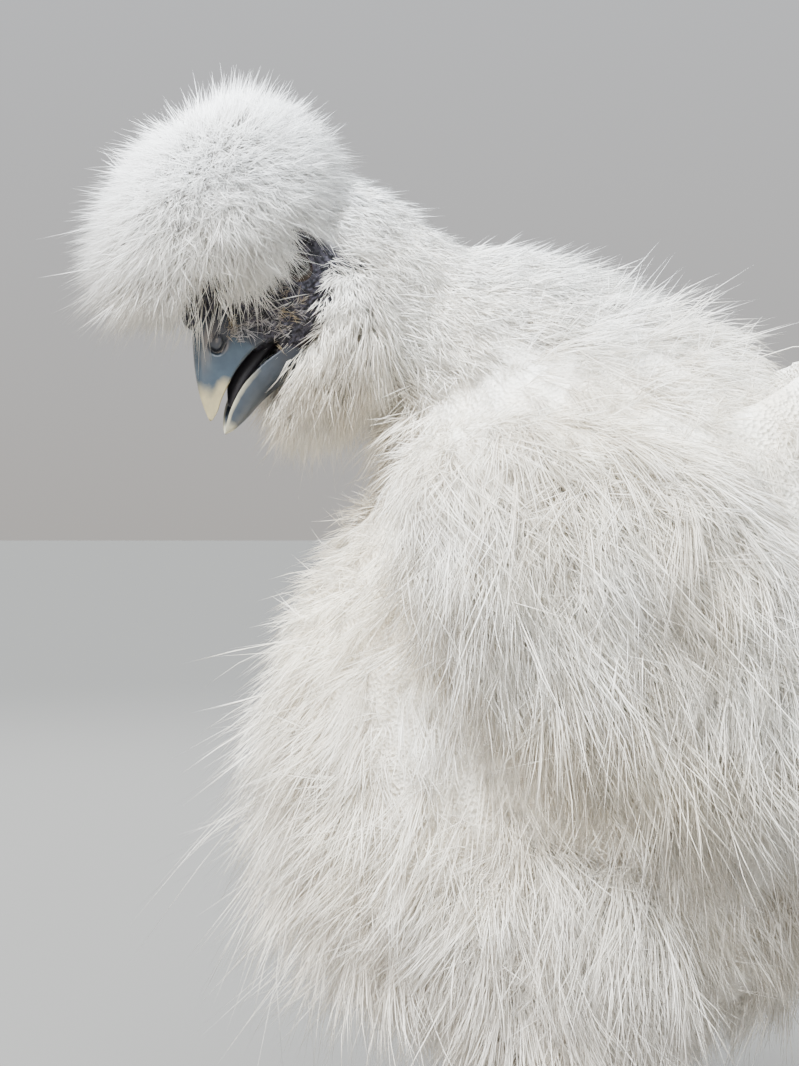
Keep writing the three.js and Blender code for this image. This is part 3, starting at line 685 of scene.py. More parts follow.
# An ellipsoid on the head's own axes: each radius times cos a, sin a cos b or sin a sin b
def ellipsoid(centre, radii, rows=14, cols=20):
    a, b = np.meshgrid(np.pi * np.arange(1, rows) / rows, 2 * np.pi * np.arange(cols) / cols, indexing="ij")
    f, u, l = centre
    grid = onHead(f + radii[0] * np.cos(a), u + radii[1] * np.sin(a) * np.cos(b),
                  l + radii[2] * np.sin(a) * np.sin(b))
    return closedGrid(grid, onHead(f + radii[0], u, l), onHead(f - radii[0], u, l))


# The walnut comb's bulbs: a place forward, up and out from the head's centre, and a radius
combBulbs = [((22.4, 12.9, 1.7), 2.5), ((22.4, 12.9, -1.7), 2.5), ((24.2, 11.9, 0), 1.9),
             ((20.6, 12, 4.6), 2.0), ((20.6, 12, -4.6), 2.0), ((20.2, 13.6, 0), 3.0), ((16.8, 15, 2.8), 3.1),
             ((16.8, 15, -2.8), 3.1), ((13.5, 16.2, 0), 3.0), ((19.0, 12.6, 4.0), 2.2),
             ((19.0, 12.6, -4.0), 2.2)]


def modify(piece, kind, **settings):
    modifier = piece.modifiers.new(kind.lower(), kind)
    for name, value in settings.items():
        setattr(modifier, name, value)


# Applies the piece's modifiers
def bake(piece):
    graph = bpy.context.evaluated_depsgraph_get()
    mesh = bpy.data.meshes.new_from_object(piece.evaluated_get(graph))
    piece.modifiers.clear()
    piece.data = mesh


# Every form's closed mesh, then pads under the feet, earlobes, lids and comb, as lists of points and faces
def skinShells():
    share = skinSet["share"]
    shells = [torso.mesh(48, 64, share), neck.mesh(32, 40, share), skull.mesh(36, 44),
              tailStump.mesh(20, 28, share)]
    for _, s in sides:
        shells += [wingBlade(s).mesh(32, 28, share), thighDrum(s).mesh(30, 30, share)]
        shells.append(shankTube(s).mesh(24, 20))
        shells += [toeForm(s, name).mesh(20, 16) for name in toes]
        shells += [lidRing(s), ellipsoid((-1.5, -3.8, s * 12), (2.4, 3, 1.7))]
        pad = np.array([s * footSpread, footForward, 4.8])
        points, faces = ellipsoid((0, 0, 0), (1, 1, 1))
        shells.append(((points - headCentre) * (7.4, 8, 6.4) + pad, faces))
    return shells + [ellipsoid(centre, (r, r, r)) for centre, r in combBulbs]


def makeSkin():
    points, faces, count = [], [], 0
    for shellPoints, shellFaces in skinShells():
        points.append(shellPoints)
        faces += [[k + count for k in face] for face in shellFaces]
        count += len(shellPoints)
    points = np.concatenate(points)
    points[:, 2] = np.maximum(points[:, 2], 0)
    skin = putMesh("skin", points, faces)
    modify(skin, "REMESH", mode="VOXEL", voxel_size=skinSet["voxel"] * mm, use_smooth_shade=True)
    modify(skin, "SMOOTH", factor=0.5, iterations=skinSet["smoothing"])
    bake(skin)
    mouth = putMesh("mouthHollow", *ellipsoid((19, -3.4, 0), (7.0, 2.6, 7.6), 24, 32))
    modify(skin, "BOOLEAN", operation="DIFFERENCE", object=mouth, solver="MANIFOLD")
    bake(skin)
    bpy.data.objects.remove(mouth)
    mesh = skin.data
    mesh.polygons.foreach_set("use_smooth", np.full(len(mesh.polygons), True))
    co = np.empty(len(mesh.vertices) * 3)
    mesh.vertices.foreach_get("co", co)
    co = co.reshape(-1, 3) / mm - shift
    f, u, l = headCoords(co)
    nearHead = (np.abs(l) < 17) & (f > -16) & (f < 30) & (u > -14) & (u < 22)
    bare = nearHead * smoothStep(-4.5, -1.5, f) * smoothStep(-12.5, -10.5, u)
    bare = bare * (1 - smoothStep(7, 9.5, u) * smoothStep(14, 11, f))
    setAttribute(skin, "bare", bare)
    setAttribute(skin, "leg", smoothStep(66, 58, co[:, 2]))
    # Where the skin lines the mouth's hollow it takes painted black shade
    inMouth = ((f - 19) / 7.3) ** 2 + ((u + 3.4) / 2.9) ** 2 + (l / 7.9) ** 2
    setAttribute(skin, "gapeShade", smoothStep(1.12, 1.0, inMouth) * nearHead)
    mesh.materials.clear()
    mesh.materials.append(birdSkin)
    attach(skin, "root")
    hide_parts("head", "neck", "torso", "comb", "earlobe_left", "earlobe_right", "shank_left",
                "shank_right", "foot_left", "foot_right")
    print("skin:", len(mesh.polygons), "faces")


makeSkin()

# Bill: each half is a run of sections along the head's forward line, each with its place forward, outer edge,
# biting edge and half width
upperBill = {"stops": [(19, 12.6, -2.4, 7.2), (21, 13.2, -1.4, 7.1), (23.5, 12.2, -0.3, 6.6),
                       (26, 10.9, 0.15, 5.8), (29, 9.0, 0.3, 4.85), (32, 6.9, 0, 3.9), (35, 4.4, -0.5, 2.7),
                       (37.4, 1.9, -1.2, 1.6), (39.2, -0.4, -1.4, 0.45)],
             "hollow": 0.35, "band": 0.5, "tip": (39.6, -1.1), "pale": (31.2, 39.5), "rim": (29, 33)}
lowerBill = {"stops": [(15.5, -10.5, -5.5, 5.5), (19.6, -12.4, -5.4, 7), (24.5, -10.6, -3.7, 6),
                       (30, -8.7, -2.6, 4.5), (35, -7.6, -3.0, 2.9), (38.4, -6.5, -4.1, 1.5),
                       (39.9, -5.6, -4.9, 0.5)],
             "hollow": 0.85, "band": 0.22, "tip": (40.3, -5.3), "pale": (35.8, 40.6), "rim": (21, 33)}
nostril = {"f": 25.5, "u": 6.6, "bulge": 0.75, "long": 1.75, "high": 1.15, "groove": 1.1, "slant": 30.0}


# A slanted oval swelling with a groove round its lower, forward side: how far each place is lifted, how deep
# in the groove it lies, which sets the groove's painted black shade, and how dark the cere is there
def nostrilRelief(ff, height):
    slant = math.radians(nostril["slant"])
    df, du = ff - nostril["f"], height - nostril["u"]
    lengthwise = (df * math.cos(slant) - du * math.sin(slant)) / nostril["long"]
    crosswise = (df * math.sin(slant) + du * math.cos(slant)) / nostril["high"]
    span = np.sqrt(lengthwise**2 + crosswise**2)
    towards = (0.37 * df - 0.93 * du) / (np.sqrt(df**2 + du**2) + 0.01)
    opening = np.clip(0.5 + 0.8 * towards, 0.12, 1)
    groove = opening * np.exp(-((span - 1.2) / 0.26) ** 2)
    lift = nostril["bulge"] * smoothStep(1.0, 0.3, span) - nostril["groove"] * groove
    past, beside = lengthwise * nostril["long"], np.abs(crosswise) * nostril["high"]
    patch = smoothStep(1.15, 0.7, np.hypot(np.maximum(0, past) / 2.6, beside / 2.7))
    return lift, groove, np.maximum(patch, smoothStep(23.6, 21.8, ff))


# Each section: outside, the biting edge plus the outer edge's rise times sin(t)^0.9, as wide as cos t;
# inside, a palate that rises by 1 - across^4
def billHalf(name, bill, rows=110, arc=72, palate=20):
    u = np.linspace(0, 1, rows)
    f, outer, edge, wide = throughStops(bill["stops"], u).T
    t = np.pi * np.arange(arc + 1) / arc
    overHeight = edge[:, None] + (outer - edge)[:, None] * np.sin(t) ** 0.9
    overWidth = wide[:, None] * np.cos(t)
    across = -1 + 2 * np.arange(1, palate) / palate
    innerHeight = edge[:, None] + ((outer - edge) * 0.5 * bill["hollow"])[:, None] * (1 - across**4)
    innerWidth = wide[:, None] * across * 0.97
    height = np.concatenate([overHeight, innerHeight], 1)
    width = np.concatenate([overWidth, innerWidth], 1)
    ff = np.repeat(f[:, None], height.shape[1], 1)
    outerSide = np.repeat(np.concatenate([np.ones(arc + 1), np.zeros(palate - 1)])[None], rows, 0)
    if name == "beakUpper":
        lift, groove, dark = nostrilRelief(ff, height)
        width = width + np.sign(width) * lift * outerSide * smoothStep(1.0, 2.5, np.abs(width))
        # Outside, the cere is dark slate; the palate inside takes painted mouth shade
        cereAndMouthShade = np.maximum(dark * outerSide, 0.95 * (1 - outerSide))
        # The groove's painted black shade
        deep = groove * outerSide
    else:
        # Inside, painted mouth shade towards the back; outside, darker towards its root
        cereAndMouthShade = 0.9 * (1 - outerSide) * smoothStep(37, 31, ff) + outerSide * smoothStep(25, 20, ff) * 0.8
        deep = np.zeros_like(ff)
    grid = onHead(ff, height, width)
    first = onHead(f[0] - 0.5, (outer[0] + edge[0]) / 2, 0)
    points, faces = closedGrid(grid, first, onHead(bill["tip"][0], bill["tip"][1], 0))
    piece = putMesh(name, points, faces)
    up = np.concatenate([np.sin(t), np.zeros(palate - 1)])
    nearEdge = smoothStep(bill["band"], 0.05, up)[None] * outerSide
    pale = smoothStep(*bill["pale"], ff) + 0.7 * nearEdge * smoothStep(*bill["rim"], ff)
    setAttribute(piece, "groove", np.concatenate([deep.reshape(-1), [0, 0]]))
    setAttribute(piece, "pale", np.concatenate([pale.reshape(-1), [0, 1]]))
    setAttribute(piece, "cereAndMouthShade", np.concatenate([cereAndMouthShade.reshape(-1), [1, 0]]))
    return piece


upper = billHalf("beakUpper", upperBill)
upper.data.materials.append(hornMaterial("upperHorn"))
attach(upper, "root")
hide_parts("beak_upper")
lower = billHalf("beakLower", lowerBill)
lower.data.materials.append(hornMaterial("lowerHorn"))
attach(lower, "root")
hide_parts("beak_lower")

# Tongue: ovals along the floor of the mouth with a shallow furrow, near black: the breed's dark skin deepened
# by painted mouth shade; each stop has its place forward, height, half width and half depth
tongueSet = {"stops": [(12, -5.0, 3.6, 2.6), (17, -3.6, 3.9, 2.7), (22, -2.6, 3.6, 2.3), (27, -2.1, 3.0, 2.0),
                       (31, -2.4, 2.2, 1.5), (34.5, -3.3, 0.8, 0.6)],
             "furrow": 0.25, "back": (11, -5, 0), "tip": (34.9, -3.5, 0), "colour": (0.018, 0.015, 0.018)}


def makeTongue():
    f, rise, wide, deep = (a[:, None] for a in throughStops(tongueSet["stops"], np.linspace(0, 1, 48)).T)
    t = 2 * np.pi * np.arange(28) / 28
    up = rise + deep * np.sin(t) - tongueSet["furrow"] * deep * np.cos(2 * t)
    grid = onHead(f + 0 * t, up, wide * np.cos(t))
    tongue = putMesh("tongue", *closedGrid(grid, onHead(*tongueSet["back"]), onHead(*tongueSet["tip"])))
    tongueSkin, _, _, bsdf = newMaterial("tongueSkin")
    # Near black, partly the dark skin and partly painted mouth shade
    bsdf.inputs["Base Color"].default_value = (*tongueSet["colour"], 1)
    bsdf.inputs["Roughness"].default_value = 0.42
    tongue.data.materials.append(tongueSkin)
    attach(tongue, "root")
    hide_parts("tongue")


makeTongue()

# Eyes: a ball, a little flat from outside, whose radius bulges at the cornea by exp(-(a / spread)^2)
eyeSet = {"radius": 4.1, "cornea": 0.35, "spread": 0.55, "flat": 0.9}
eyeGloss = eyeMaterial()


def makeEye(side, s):
    a, b = np.meshgrid(np.pi * np.arange(1, 40) / 40, 2 * np.pi * np.arange(48) / 48, indexing="ij")
    f, u, l = eyePlace
    radius, cornea, flat = eyeSet["radius"], eyeSet["cornea"], eyeSet["flat"]
    r = radius * (1 + cornea / radius * np.exp(-(a / eyeSet["spread"]) ** 2))
    out = s * (l + r * np.cos(a) * flat)
    grid = onHead(f + r * np.sin(a) * np.cos(b), u + r * np.sin(a) * np.sin(b), out)
    front, back = onHead(f, u, s * (l + (radius + cornea) * flat)), onHead(f, u, s * (l - radius * flat))
    eye = putMesh(f"eye{side.title()}", *closedGrid(grid, front, back))
    setAttribute(eye, "along", np.concatenate([(1 - a / np.pi).reshape(-1), [1, 0]]))
    eye.data.materials.append(eyeGloss)
    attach(eye, "root")
    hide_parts(f"eye_{side}")


for side, s in sides:
    makeEye(side, s)

# Claws: a round cone along each toe's heading, hooked down, or up on the fifth toe
clawSet = {"length": 8.0, "girth": 2.3, "least": 0.12, "overlap": 0.6, "narrow": 0.8, "hook": -1.0,
           "fifthHook": 2.5}
clawHorn = hornMaterial("clawHorn")


# Start + heading * length * share, bent by hook * share^2, with a radius of girth * (1 - share^1.3)
def makeClaw(side, s, toe):
    heading, length, root = toeRay(s, toe)
    hook = clawSet["fifthHook"] if toe == "fifth" else clawSet["hook"]
    share, around = np.meshgrid(np.linspace(0, 0.97, 18), 2 * np.pi * np.arange(16) / 16, indexing="ij")
    start = root + heading * (length - clawSet["overlap"])
    along = (heading * clawSet["length"]) * share[..., None]
    centre = start + along + np.array([0, 0, hook]) * share[..., None] ** 2
    sideways = unit(np.cross(heading, [0, 0, 1.0]))
    radius = clawSet["girth"] * (1 - share**1.3) + clawSet["least"]
    wide = (radius * np.cos(around) * clawSet["narrow"])[..., None]
    grid = centre + sideways * wide + np.array([0, 0, 1.0]) * (radius * np.sin(around))[..., None]
    tip = start + heading * clawSet["length"] + np.array([0, 0, hook])
    grid[..., 2] = np.maximum(grid[..., 2], 0.02)
    tip[2] = max(tip[2], 0.25)
    claw = putMesh(f"claw{side.title()}{toe.title()}", *closedGrid(grid, start, tip))
    setAttribute(claw, "pale", np.concatenate([share.reshape(-1), [0, 1]]))
    claw.data.materials.append(clawHorn)
    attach(claw, "root")
    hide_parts(f"claw_{side}_{toe}")


for side, s in sides:
    for toe in toes:
        makeClaw(side, s, toe)
print("bill, eyes and claws made")


# Coat: tapered strands in tufts, and tufts gathered in locks. Each strand has three-sided rings at the knots
# between its ends, each with its share of the strand's thickness, by the strand's number of segments.
coatReach = {"side": 78.0, "spare": 13.0, "floor": 5.0, "sole": 0.15}
strandKnots = {2: [0, 0.42, 1], 3: [0, 0.25, 0.62, 1]}
strandTaper = {2: [1], 3: [1, 0.75]}


# Past the side reach a place moves out ever less, by tanh, and near the floor it sinks ever less, by exp
def withinReach(points):
    x, y, z = np.moveaxis(points, -1, 0)
    spare, floor = coatReach["spare"], coatReach["floor"]
    past = np.maximum(0, np.abs(x) - coatReach["side"])
    x = np.sign(x) * (np.abs(x) - past + spare * np.tanh(past / spare))
    low = np.minimum(z, floor)
    z = np.where(z < floor, floor * np.exp((low - floor) / floor) + coatReach["sole"], z)
    return np.stack([x, y, z], -1)


# A tuft runs from its root by length * (s * lean + s^2 * bend), with s from 0 at the skin to 1 at the tip,
# and its tip is pulled towards the tip of its lock's head tuft. Its strands fan out from that path.
def growStrands(form, rng, tufts, each, strand, lie, where=None, clear=None):
    u, v = form.roots(tufts, rng, where)
    place, normal = form.surface(u, v, skinSet["share"], -0.4), form.normal(u, v)
    flow = lie(place, normal)
    flow = unit(flow - dot(flow, normal) * normal + 1e-9)
    cross = np.cross(normal, flow)
    depth = form.coat(place, normal)[:, None] * (1 - skinSet["share"])
    heads = rng.choice(tufts, min(strand["locks"], tufts), replace=False)
    nearest = np.concatenate([((part[:, None] - place[None, heads]) ** 2).sum(-1).argmin(1)
                              for part in np.array_split(place, 8)])

    # One random value for all tufts of a lock
    def ofLock(low, high):
        return rng.uniform(low, high, (len(heads), 1))[nearest]

    # One row for each tuft, repeated for each of its strands
    def spread(rows):
        return np.repeat(rows, each, 0)

    vary = strand["vary"]
    length = depth * strand["length"] * rng.uniform(1 - vary, 1 + vary, (tufts, 1)) * ofLock(0.85, 1.15)
    turned = rng.normal(0, strand["stray"], (tufts, 1)) + ofLock(-1, 1) * strand["wander"]
    stand = strand["stand"] + rng.uniform(-0.12, 0.12, (tufts, 1)) + ofLock(-0.6, 1) * strand["lift"]
    lean = unit(normal * stand + flow * np.cos(turned) + cross * np.sin(turned))
    bend = cross * (rng.normal(0, strand["curl"], (tufts, 1)) - 0.5 * strand["wander"] * ofLock(-1, 1))
    rear = smoothStep(56, 84, place[:, 1]) * smoothStep(165, 185, place[:, 2])
    droop = strand["droop"] + strand["rearDroop"] * rear[:, None]
    hug = rng.normal(-strand["hug"], strand["curl"] * 0.5, (tufts, 1))
    bend = bend + normal * hug + np.array([0, 0, -1.0]) * droop
    tip = place + length * (lean + bend)
    pull = (tip[heads][nearest] - tip) * strand["gather"]
    if clear is not None:
        # A tuft that would cover what stays clear is shortened, and left out where even the shortest would
        fit = np.zeros(tufts)
        for part in (0.3, 0.45, 0.62, 0.8, 1.0):
            end = place + part * (length * (lean + part * bend) + pull)
            middle = place + 0.6 * part * (length * (lean + 0.6 * part * bend) + 0.8 * pull)
            fit = np.where(clear(end) & clear(middle), part, fit)
        fit = np.where(rng.uniform(0, 1, tufts) < faceStrip["stray"], 1, fit)
        kept = fit > 0
        length = length * fit[:, None]
        pull = pull * fit[:, None]
        place, normal, flow, cross, length, lean, bend, pull, u, v = (
            a[kept] for a in (place, normal, flow, cross, length, lean, bend, pull, u, v))
    n = len(place) * each
    angle, ring = rng.uniform(0, 2 * np.pi, (n, 1)), np.sqrt(rng.uniform(0, 1, (n, 1)))
    offset = (spread(cross) * np.cos(angle) + spread(flow) * np.sin(angle)) * ring * strand["patch"]
    root = spread(place) + offset
    fan = spread(cross) * np.cos(angle) + spread(np.cross(lean, cross)) * np.sin(angle)
    wild = rng.uniform(0, 1, (n, 1)) < strand["wild"]
    reach = spread(length) * rng.uniform(0.6, 1.0, (n, 1)) * np.where(wild, 1.3, 1.0)
    fan = fan * ring * strand["fan"] * np.where(wild, 1.8, 1.0)
    start = spread(lean) + rng.normal(0, strand["frizz"] * 0.7, (n, 3))
    curve = spread(bend) + rng.normal(0, strand["frizz"], (n, 3))
    s = np.array(strandKnots[strand["segments"]])[None, :, None]
    path = root[:, None] + reach[:, None] * (s * start[:, None] + s**2 * curve[:, None] + s * fan[:, None])
    path = path + s**1.6 * spread(pull * np.where(wild.reshape(-1, each)[:, :1], 0.5, 1))[:, None]
    along = unit(path[:, 2:] - path[:, :-2])
    side = unit(np.cross(along, spread(normal)[:, None]))
    over = np.cross(along, side)
    taper = np.array(strandTaper[strand["segments"]])[None, :, None]
    radius = strand["width"] / 1.8 * rng.uniform(0.75, 1.25, (n, 1, 1)) * taper
    turn = rng.uniform(0, 2 * np.pi, (n, 1, 1))
    path = withinReach(path)
    corners = [turn + k * 2.0944 for k in range(3)]
    rings = [path[:, 1:-1] + radius * (side * np.cos(corner) + over * np.sin(corner)) for corner in corners]
    rings = np.stack(rings, 2).reshape(n, -1, 3)
    points = np.concatenate([path[:, :1], rings, path[:, -1:]], 1)
    return points, spread(np.stack([u, v % 1], -1)), s[0, :, 0]


# One mesh of all batches' strands, each closed by a fan of faces at its root and its tip, with its own small
# place in the OFBake map near its tuft's place on the form
def makeCoat(name, batches, *nodes, material=None):
    points, loops, sizes, uvs, shares = [], [], [], [], []
    count = 0
    for k, (strands, place, s) in enumerate(batches):
        n, stride = strands.shape[:2]
        around = np.arange(3)
        after = (around + 1) % 3
        faces = [np.stack([np.zeros(3, int), 1 + after, 1 + around], -1)]
        for ring in range(len(s) - 3):
            low = 1 + 3 * ring
            faces.append(np.stack([low + around, low + after, low + 3 + after, low + 3 + around], -1))
        low = stride - 4
        faces.append(np.stack([low + around, low + after, np.full(3, stride - 1)], -1))
        template = np.concatenate([f.reshape(-1) for f in faces])
        loops.append((template[None] + count + np.arange(n)[:, None] * stride).reshape(-1))
        sizes.append(np.tile(np.concatenate([np.full(3, f.shape[1]) for f in faces]), n))
        points.append(strands.reshape(-1, 3))
        count += n * stride
        share = np.concatenate([s[:1], np.repeat(s[1:-1], 3), s[-1:]])
        shares.append(np.tile(share, n))
        across = np.concatenate([[0], np.tile([-1, 0, 1], len(s) - 2), [0]])
        patch = np.stack([across, 2 * share - 1], -1) * 0.0015
        home = np.stack([(k + 0.02 + 0.96 * place[:, 0]) / len(batches), 0.01 + 0.98 * place[:, 1]], -1)
        uvs.append((home[:, None] + patch).reshape(-1, 2))
    points, loops, sizes, uvs = (np.concatenate(a) for a in (points, loops, sizes, uvs))
    mesh = bpy.data.meshes.new(name)
    mesh.vertices.add(len(points))
    mesh.vertices.foreach_set("co", ((points + shift) * mm).astype(np.float32).reshape(-1))
    mesh.loops.add(len(loops))
    mesh.loops.foreach_set("vertex_index", loops.astype(np.int32))
    mesh.polygons.add(len(sizes))
    mesh.polygons.foreach_set("loop_start", (np.cumsum(sizes) - sizes).astype(np.int32))
    mesh.polygons.foreach_set("use_smooth", np.full(len(sizes), True))
    layer = mesh.uv_layers.new(name="OFBake")
    layer.data.foreach_set("uv", uvs[loops].astype(np.float32).reshape(-1))
    mesh.update(calc_edges=True)
    piece = bpy.data.objects.new(name, mesh)
    bpy.context.collection.objects.link(piece)
    setAttribute(piece, "strand", np.concatenate(shares))
    mesh.materials.append(material or plumage)
    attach(piece, "root")
    if nodes:
        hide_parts(*nodes)
    mesh.calc_loop_triangles()
    print(name, len(mesh.loop_triangles), "triangles")


# Which way the feathers lie: the same way all over
def lieOf(*direction):
    return lambda place, n: np.broadcast_to(np.array(direction, float), place.shape)


# Down the sides, back along the top and over the saddle, and forward under the breast
def bodyLie(place, n):
    over, front = np.maximum(0, n[:, 2]), np.maximum(0, -n[:, 1])
    saddle = smoothStep(82, 98, place[:, 1]) * smoothStep(165, 182, place[:, 2])
    back = 0.2 + 1.1 * over - 0.9 * front + saddle
    return np.stack([place[:, 0] * 0.006, back, -1 + 0.9 * over + 0.5 * saddle], -1)


# Distance from the nearest of 24 places on the form's spine, over the form's mean girth there and `grow` mm
def inside(form, place, grow):
    u = np.linspace(0.04, 0.96, 24)
    centre, girth = throughStops(form.spine, u), throughStops(form.girth, u)
    rounding = np.maximum(0, 1 - np.abs(2 * u - 1) ** form.blunt) ** (1 / form.blunt)
    gap = np.linalg.norm(place[:, None] - centre[None], axis=-1)
    k = (gap / girth.mean(1)).argmin(1)
    return gap[np.arange(len(place)), k] / np.maximum(0.5, girth[k].mean(1) * rounding[k] + grow)


# Only places that aren't within the other forms, each grown by some mm
def awayFrom(*others):
    def chance(place, n):
        clear = np.ones(len(place))
        for form, grow in others:
            clear = clear * (inside(form, place, grow) > 1)
        return clear
    return chance


# The bare strip of the face: a line forward and up from behind the eye to the bill's root, half its width,
# and the share of strands that stray over it
faceStrip = {"line": [(-1, 3), (2.2, 1.8), (6.8, -1.4), (11.1, -2.1), (14.5, -0.2), (18.7, 2.7), (21.4, 5.6),
                      (22.7, 9.5)],
             "half": 2.7, "stray": 0.06}


# Places that are neither on the bill nor within the bare strip at the head's sides
def offBill(points):
    f, u, l = headCoords(points)
    belowBill = -12.5 + 0.33 * np.maximum(0, f - 20)
    onRidge = (f > 18) & (u < 16) & (u > 9.5)
    onGape = (f > 14) & (u < f - 13) & (u > -10.5)
    onBill = (f > 19.3) & (u < 15.5) & (u > belowBill) | onRidge | onGape
    line = np.array(faceStrip["line"], float)
    spot = np.stack([f, u], -1)
    gap = np.full(len(f), 99.0)
    for a, b in zip(line[:-1], line[1:]):
        t = np.clip(((spot - a) @ (b - a)) / ((b - a) @ (b - a)), 0, 1)
        gap = np.minimum(gap, np.linalg.norm(spot - a - t[:, None] * (b - a), axis=-1))
    return ~onBill & ~((gap < faceStrip["half"]) & (np.abs(l) > 4))


wings = [wingBlade(s) for _, s in sides]
thighs = [thighDrum(s) for _, s in sides]
muffs = [muffPuff(s) for _, s in sides]
cuffs = [featheringCuff(s) for _, s in sides]
faceForm = Form([(onHead(-2, 0.8, 0), 12.6, 12.7), (onHead(5, 0.5, 0), 12.4, 12.8),
                 (onHead(12, 0.6, 0), 10.8, 12.4), (onHead(19, 1.8, 0), 8.5, 10.4),
                 (onHead(26, 5, 0), 6.4, 6.8)], across=outward, blunt=4, coat=evenCoat(3))


# How a batch's strands grow. Length is in depths of the coat, patch and width are in mm, stray and wander
# are in radians, stand, lift, curl, droop, hug, fan and frizz are in lengths, the rest are shares or counts.
def style(**changes):
    base = {"length": 1.4, "vary": 0.22, "stand": 0.6, "lift": 0.1, "stray": 0.35, "wander": 0.15,
            "curl": 0.12, "droop": 0.1, "rearDroop": 0.0, "hug": 0.05, "patch": 2.0, "fan": 0.16,
            "wild": 0.04, "frizz": 0.085, "width": 0.175, "segments": 2, "locks": 150, "gather": 0.25}
    return {**base, **changes}


crestStyle = style(length=0.95, vary=0.14, wild=0.02, stand=1.4, stray=0.8, wander=0.1, curl=0.06, droop=0.14,
                   hug=0, patch=2.1, fan=0.27, frizz=0.085, width=0.15, locks=240, gather=0.04)
beardStyle = style(length=1.4, stand=0.8, stray=0.4, droop=0.3, patch=1.5, fan=0.2, frizz=0.09, width=0.18,
                   locks=60, gather=0.2)
faceStyle = style(length=0.95, vary=0.4, stand=0.35, stray=0.6, curl=0.35, patch=0.5, fan=0.3, frizz=0.25,
                  width=0.1, segments=3, gather=0)
neckStyle = style(length=1.6, stand=0.42, hug=0.1, droop=0.05, frizz=0.1, width=0.19, locks=200, gather=0.25,
                  lift=0.12)
fuzzStyle = style(length=1.05, stand=0.8, stray=0.8, fan=0.25, frizz=0.14, width=0.18, wild=0.03, gather=0.1,
                  rearDroop=0.45)
backStyle = style(length=1.6, stand=0.42, lift=0.22, droop=0.12, rearDroop=0.75, locks=100, segments=3,
                  gather=0.3, wander=0.3, patch=1.3, fan=0.24)
breastStyle = style(length=1.6, stand=0.65, lift=0.3, stray=0.3, droop=0.12, hug=0, locks=100, segments=3,
                    gather=0.3, wander=0.4, patch=1.3, fan=0.26)
wispStyle = style(length=1.6, vary=0.35, stand=1.1, lift=0.4, stray=0.5, curl=0.35, droop=0.25, hug=0,
                  fan=0.2, frizz=0.12, width=0.12, segments=3, locks=40, gather=0.1)
wingStyle = style(length=2.2, stand=0.2, lift=0.26, stray=0.22, droop=0.25, patch=1.3, fan=0.24, frizz=0.06,
                  segments=3, locks=80, gather=0.25, wander=0.45)
wingFuzz = style(length=1.35, stand=0.5, stray=0.6, droop=0.2, fan=0.25, frizz=0.12, width=0.18, gather=0.1)
thighStyle = style(length=2.2, stand=0.35, lift=0.35, droop=0.2, hug=0, fan=0.26, patch=1.3, segments=3,
                   locks=45, gather=0.3, wander=0.4)
tailStyle = style(length=1.8, stand=0.5, droop=0.15, hug=0, locks=40, gather=0.35, segments=3)
cuffStyle = style(length=2.4, stand=0.6, droop=0.3, patch=1.2, fan=0.14, width=0.18, locks=30)


# Away from the middle of the crest's top, and a little down
def crestLie(place, n):
    return place - onHead(-2, 27, 0) + np.array([0, 0, -8.0])


# Forward under the bill, down, and a little out
def beardLie(place, n):
    return 0.8 * forward + np.array([0, 0.2, -0.5]) + n * 0.35


# Down the shank and a little out
def cuffLie(place, n):
    return np.stack([n[:, 0] * 0.5, 0.3 * n[:, 1], -np.ones(len(n))], -1)


# Golden hairs at the bill's root, and fewer grey ones over the bare strip
def onFace(place, n):
    f, u, l = headCoords(place)
    golden = (f > 19.5) & (f < 23.6) & (u > 2.5) & (u < 7) & (np.abs(l) > 4)
    grey = (f > 10) & (f < 20) & (u > -4) & (u < 4)
    return golden * 1.0 + (grey & ~golden) * 0.4


openBody = awayFrom((neck, -9), *[(w, -3) for w in wings], *[(t, -3) for t in thighs])
bodyParts = {"backLevel": 165, "rumpFrom": 45, "wispLevel": 150}


def onBack(place, n):
    return openBody(place, n) * (place[:, 2] > bodyParts["backLevel"])


def onBreast(place, n):
    level, fore = place[:, 2] <= bodyParts["backLevel"], place[:, 1] < bodyParts["rumpFrom"]
    return openBody(place, n) * level * fore


def onRump(place, n):
    level, aft = place[:, 2] <= bodyParts["backLevel"], place[:, 1] >= bodyParts["rumpFrom"]
    return openBody(place, n) * level * aft


def onForeBelly(place, n):
    return onBreast(place, n) * (n[:, 1] < -0.45) * (place[:, 2] < bodyParts["wispLevel"])


# The outer face of the wing on the side s
def outerOf(s):
    return lambda place, n: (n[:, 0] * s > -0.2) * 1.0


# Each batch: the seed of its random numbers, how many tufts, and strands in each
tuftSets = {"crest": (3, 4600, 7), "beard": (5, 850, 7), "face": (51, 190, 4), "neck": (11, 4000, 7),
            "back": (13, 630, 14), "backFuzz": (14, 1600, 7), "breast": (17, 690, 14),
            "breastFuzz": (18, 1500, 7), "wisps": (21, 75, 6), "rump": (19, 450, 14),
            "rumpFuzz": (20, 1100, 7), "wing": (23, 490, 14),
            "wingFuzz": (33, 1300, 7), "thigh": (29, 285, 14), "thighFuzz": (39, 700, 7), "cuff": (41, 380, 6),
            "tail": (37, 500, 8), "tailFuzz": (38, 600, 7)}


# A batch on a form; a form that is one of several like it adds its number to the seed
def sow(batch, form, strand, lie, where=None, clear=None, number=0):
    seed, tufts, each = tuftSets[batch]
    return growStrands(form, np.random.default_rng(seed + number), tufts, each, strand, lie, where, clear)


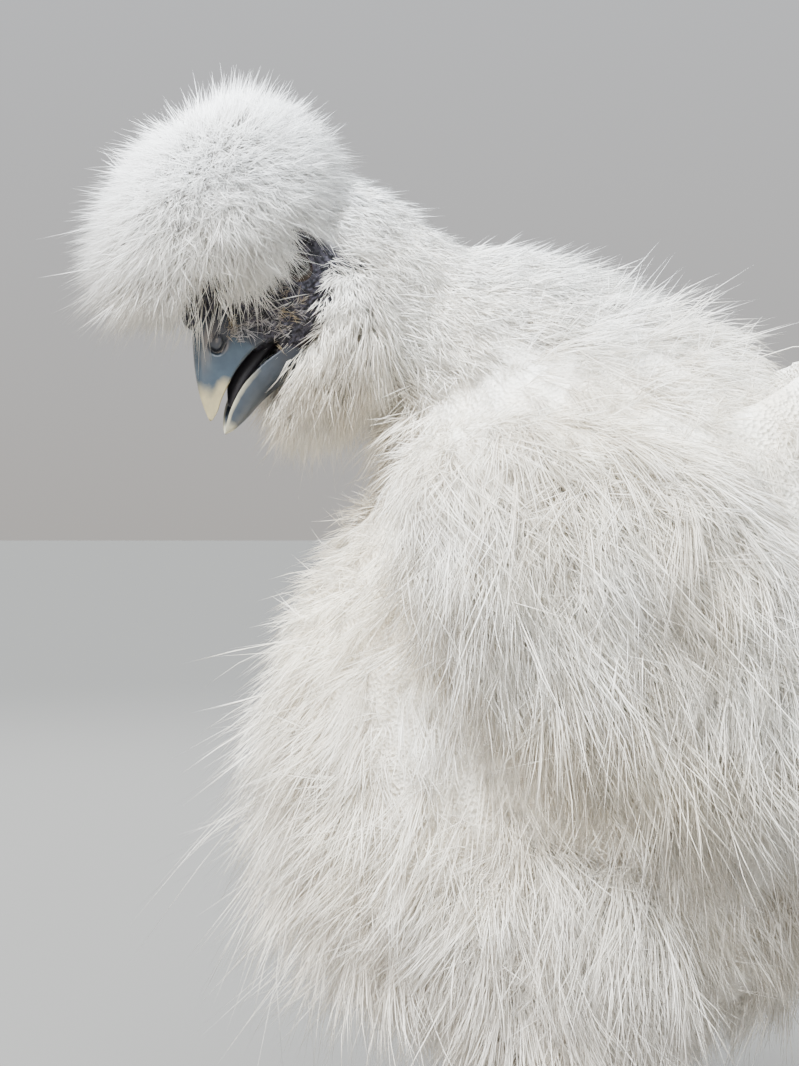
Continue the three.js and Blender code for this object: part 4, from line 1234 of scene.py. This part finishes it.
makeCoat("coatCrest", [sow("crest", crestPuff, crestStyle, crestLie, awayFrom((skull, 0), (neck, -2)),
                           offBill)], "crest")
makeCoat("coatBeard", [sow("beard", form, beardStyle, beardLie, awayFrom((skull, -1)), offBill, k)
                       for k, form in enumerate([beardPuff, *muffs])], "beard", "muff_left", "muff_right")
makeCoat("coatFace", [sow("face", faceForm, faceStyle, lieOf(*(-0.8 * forward - 0.5 * crown)), onFace)],
         material=bristle)
makeCoat("coatNeck", [sow("neck", neck, neckStyle, lieOf(0, 1, -0.62),
                          awayFrom((crestPuff, 1), (torso, -14), (skull, -2)))])
makeCoat("coatBack", [sow("back", torso, backStyle, bodyLie, onBack),
                      sow("backFuzz", torso, fuzzStyle, bodyLie, onBack)])
makeCoat("coatBreast", [sow("breast", torso, breastStyle, bodyLie, onBreast),
                        sow("breastFuzz", torso, fuzzStyle, bodyLie, onBreast),
                        sow("wisps", torso, wispStyle, bodyLie, onForeBelly)])
makeCoat("coatRump", [sow("rump", torso, backStyle, bodyLie, onRump),
                      sow("rumpFuzz", torso, fuzzStyle, bodyLie, onRump)])
wingLie, thighLie, tailLie = lieOf(0, 0.45, -1), lieOf(0, 0.1, -1), lieOf(0, 1, -0.5)
offTorso = awayFrom((torso, -6))
for k, (side, s) in enumerate(sides):
    makeCoat(f"coatWing{side.title()}",
             [sow("wing", wings[k], wingStyle, wingLie, outerOf(s), number=k),
              sow("wingFuzz", wings[k], wingFuzz, wingLie, outerOf(s), number=k)], f"wing_{side}")
    makeCoat(f"coatThigh{side.title()}",
             [sow("thigh", thighs[k], thighStyle, thighLie, offTorso, number=k),
              sow("thighFuzz", thighs[k], fuzzStyle, thighLie, offTorso, number=k)], f"thigh_{side}")
    makeCoat(f"coatCuff{side.title()}", [sow("cuff", cuffs[k], cuffStyle, cuffLie, number=k)],
             f"feathering_{side}")
makeCoat("coatTail", [sow("tail", tailStump, tailStyle, tailLie),
                      sow("tailFuzz", tailStump, fuzzStyle, tailLie)], "tail")
total = sum(len(o.data.loop_triangles) for o in bpy.context.scene.objects if o.name.startswith("coat"))
print("coat in all:", total)
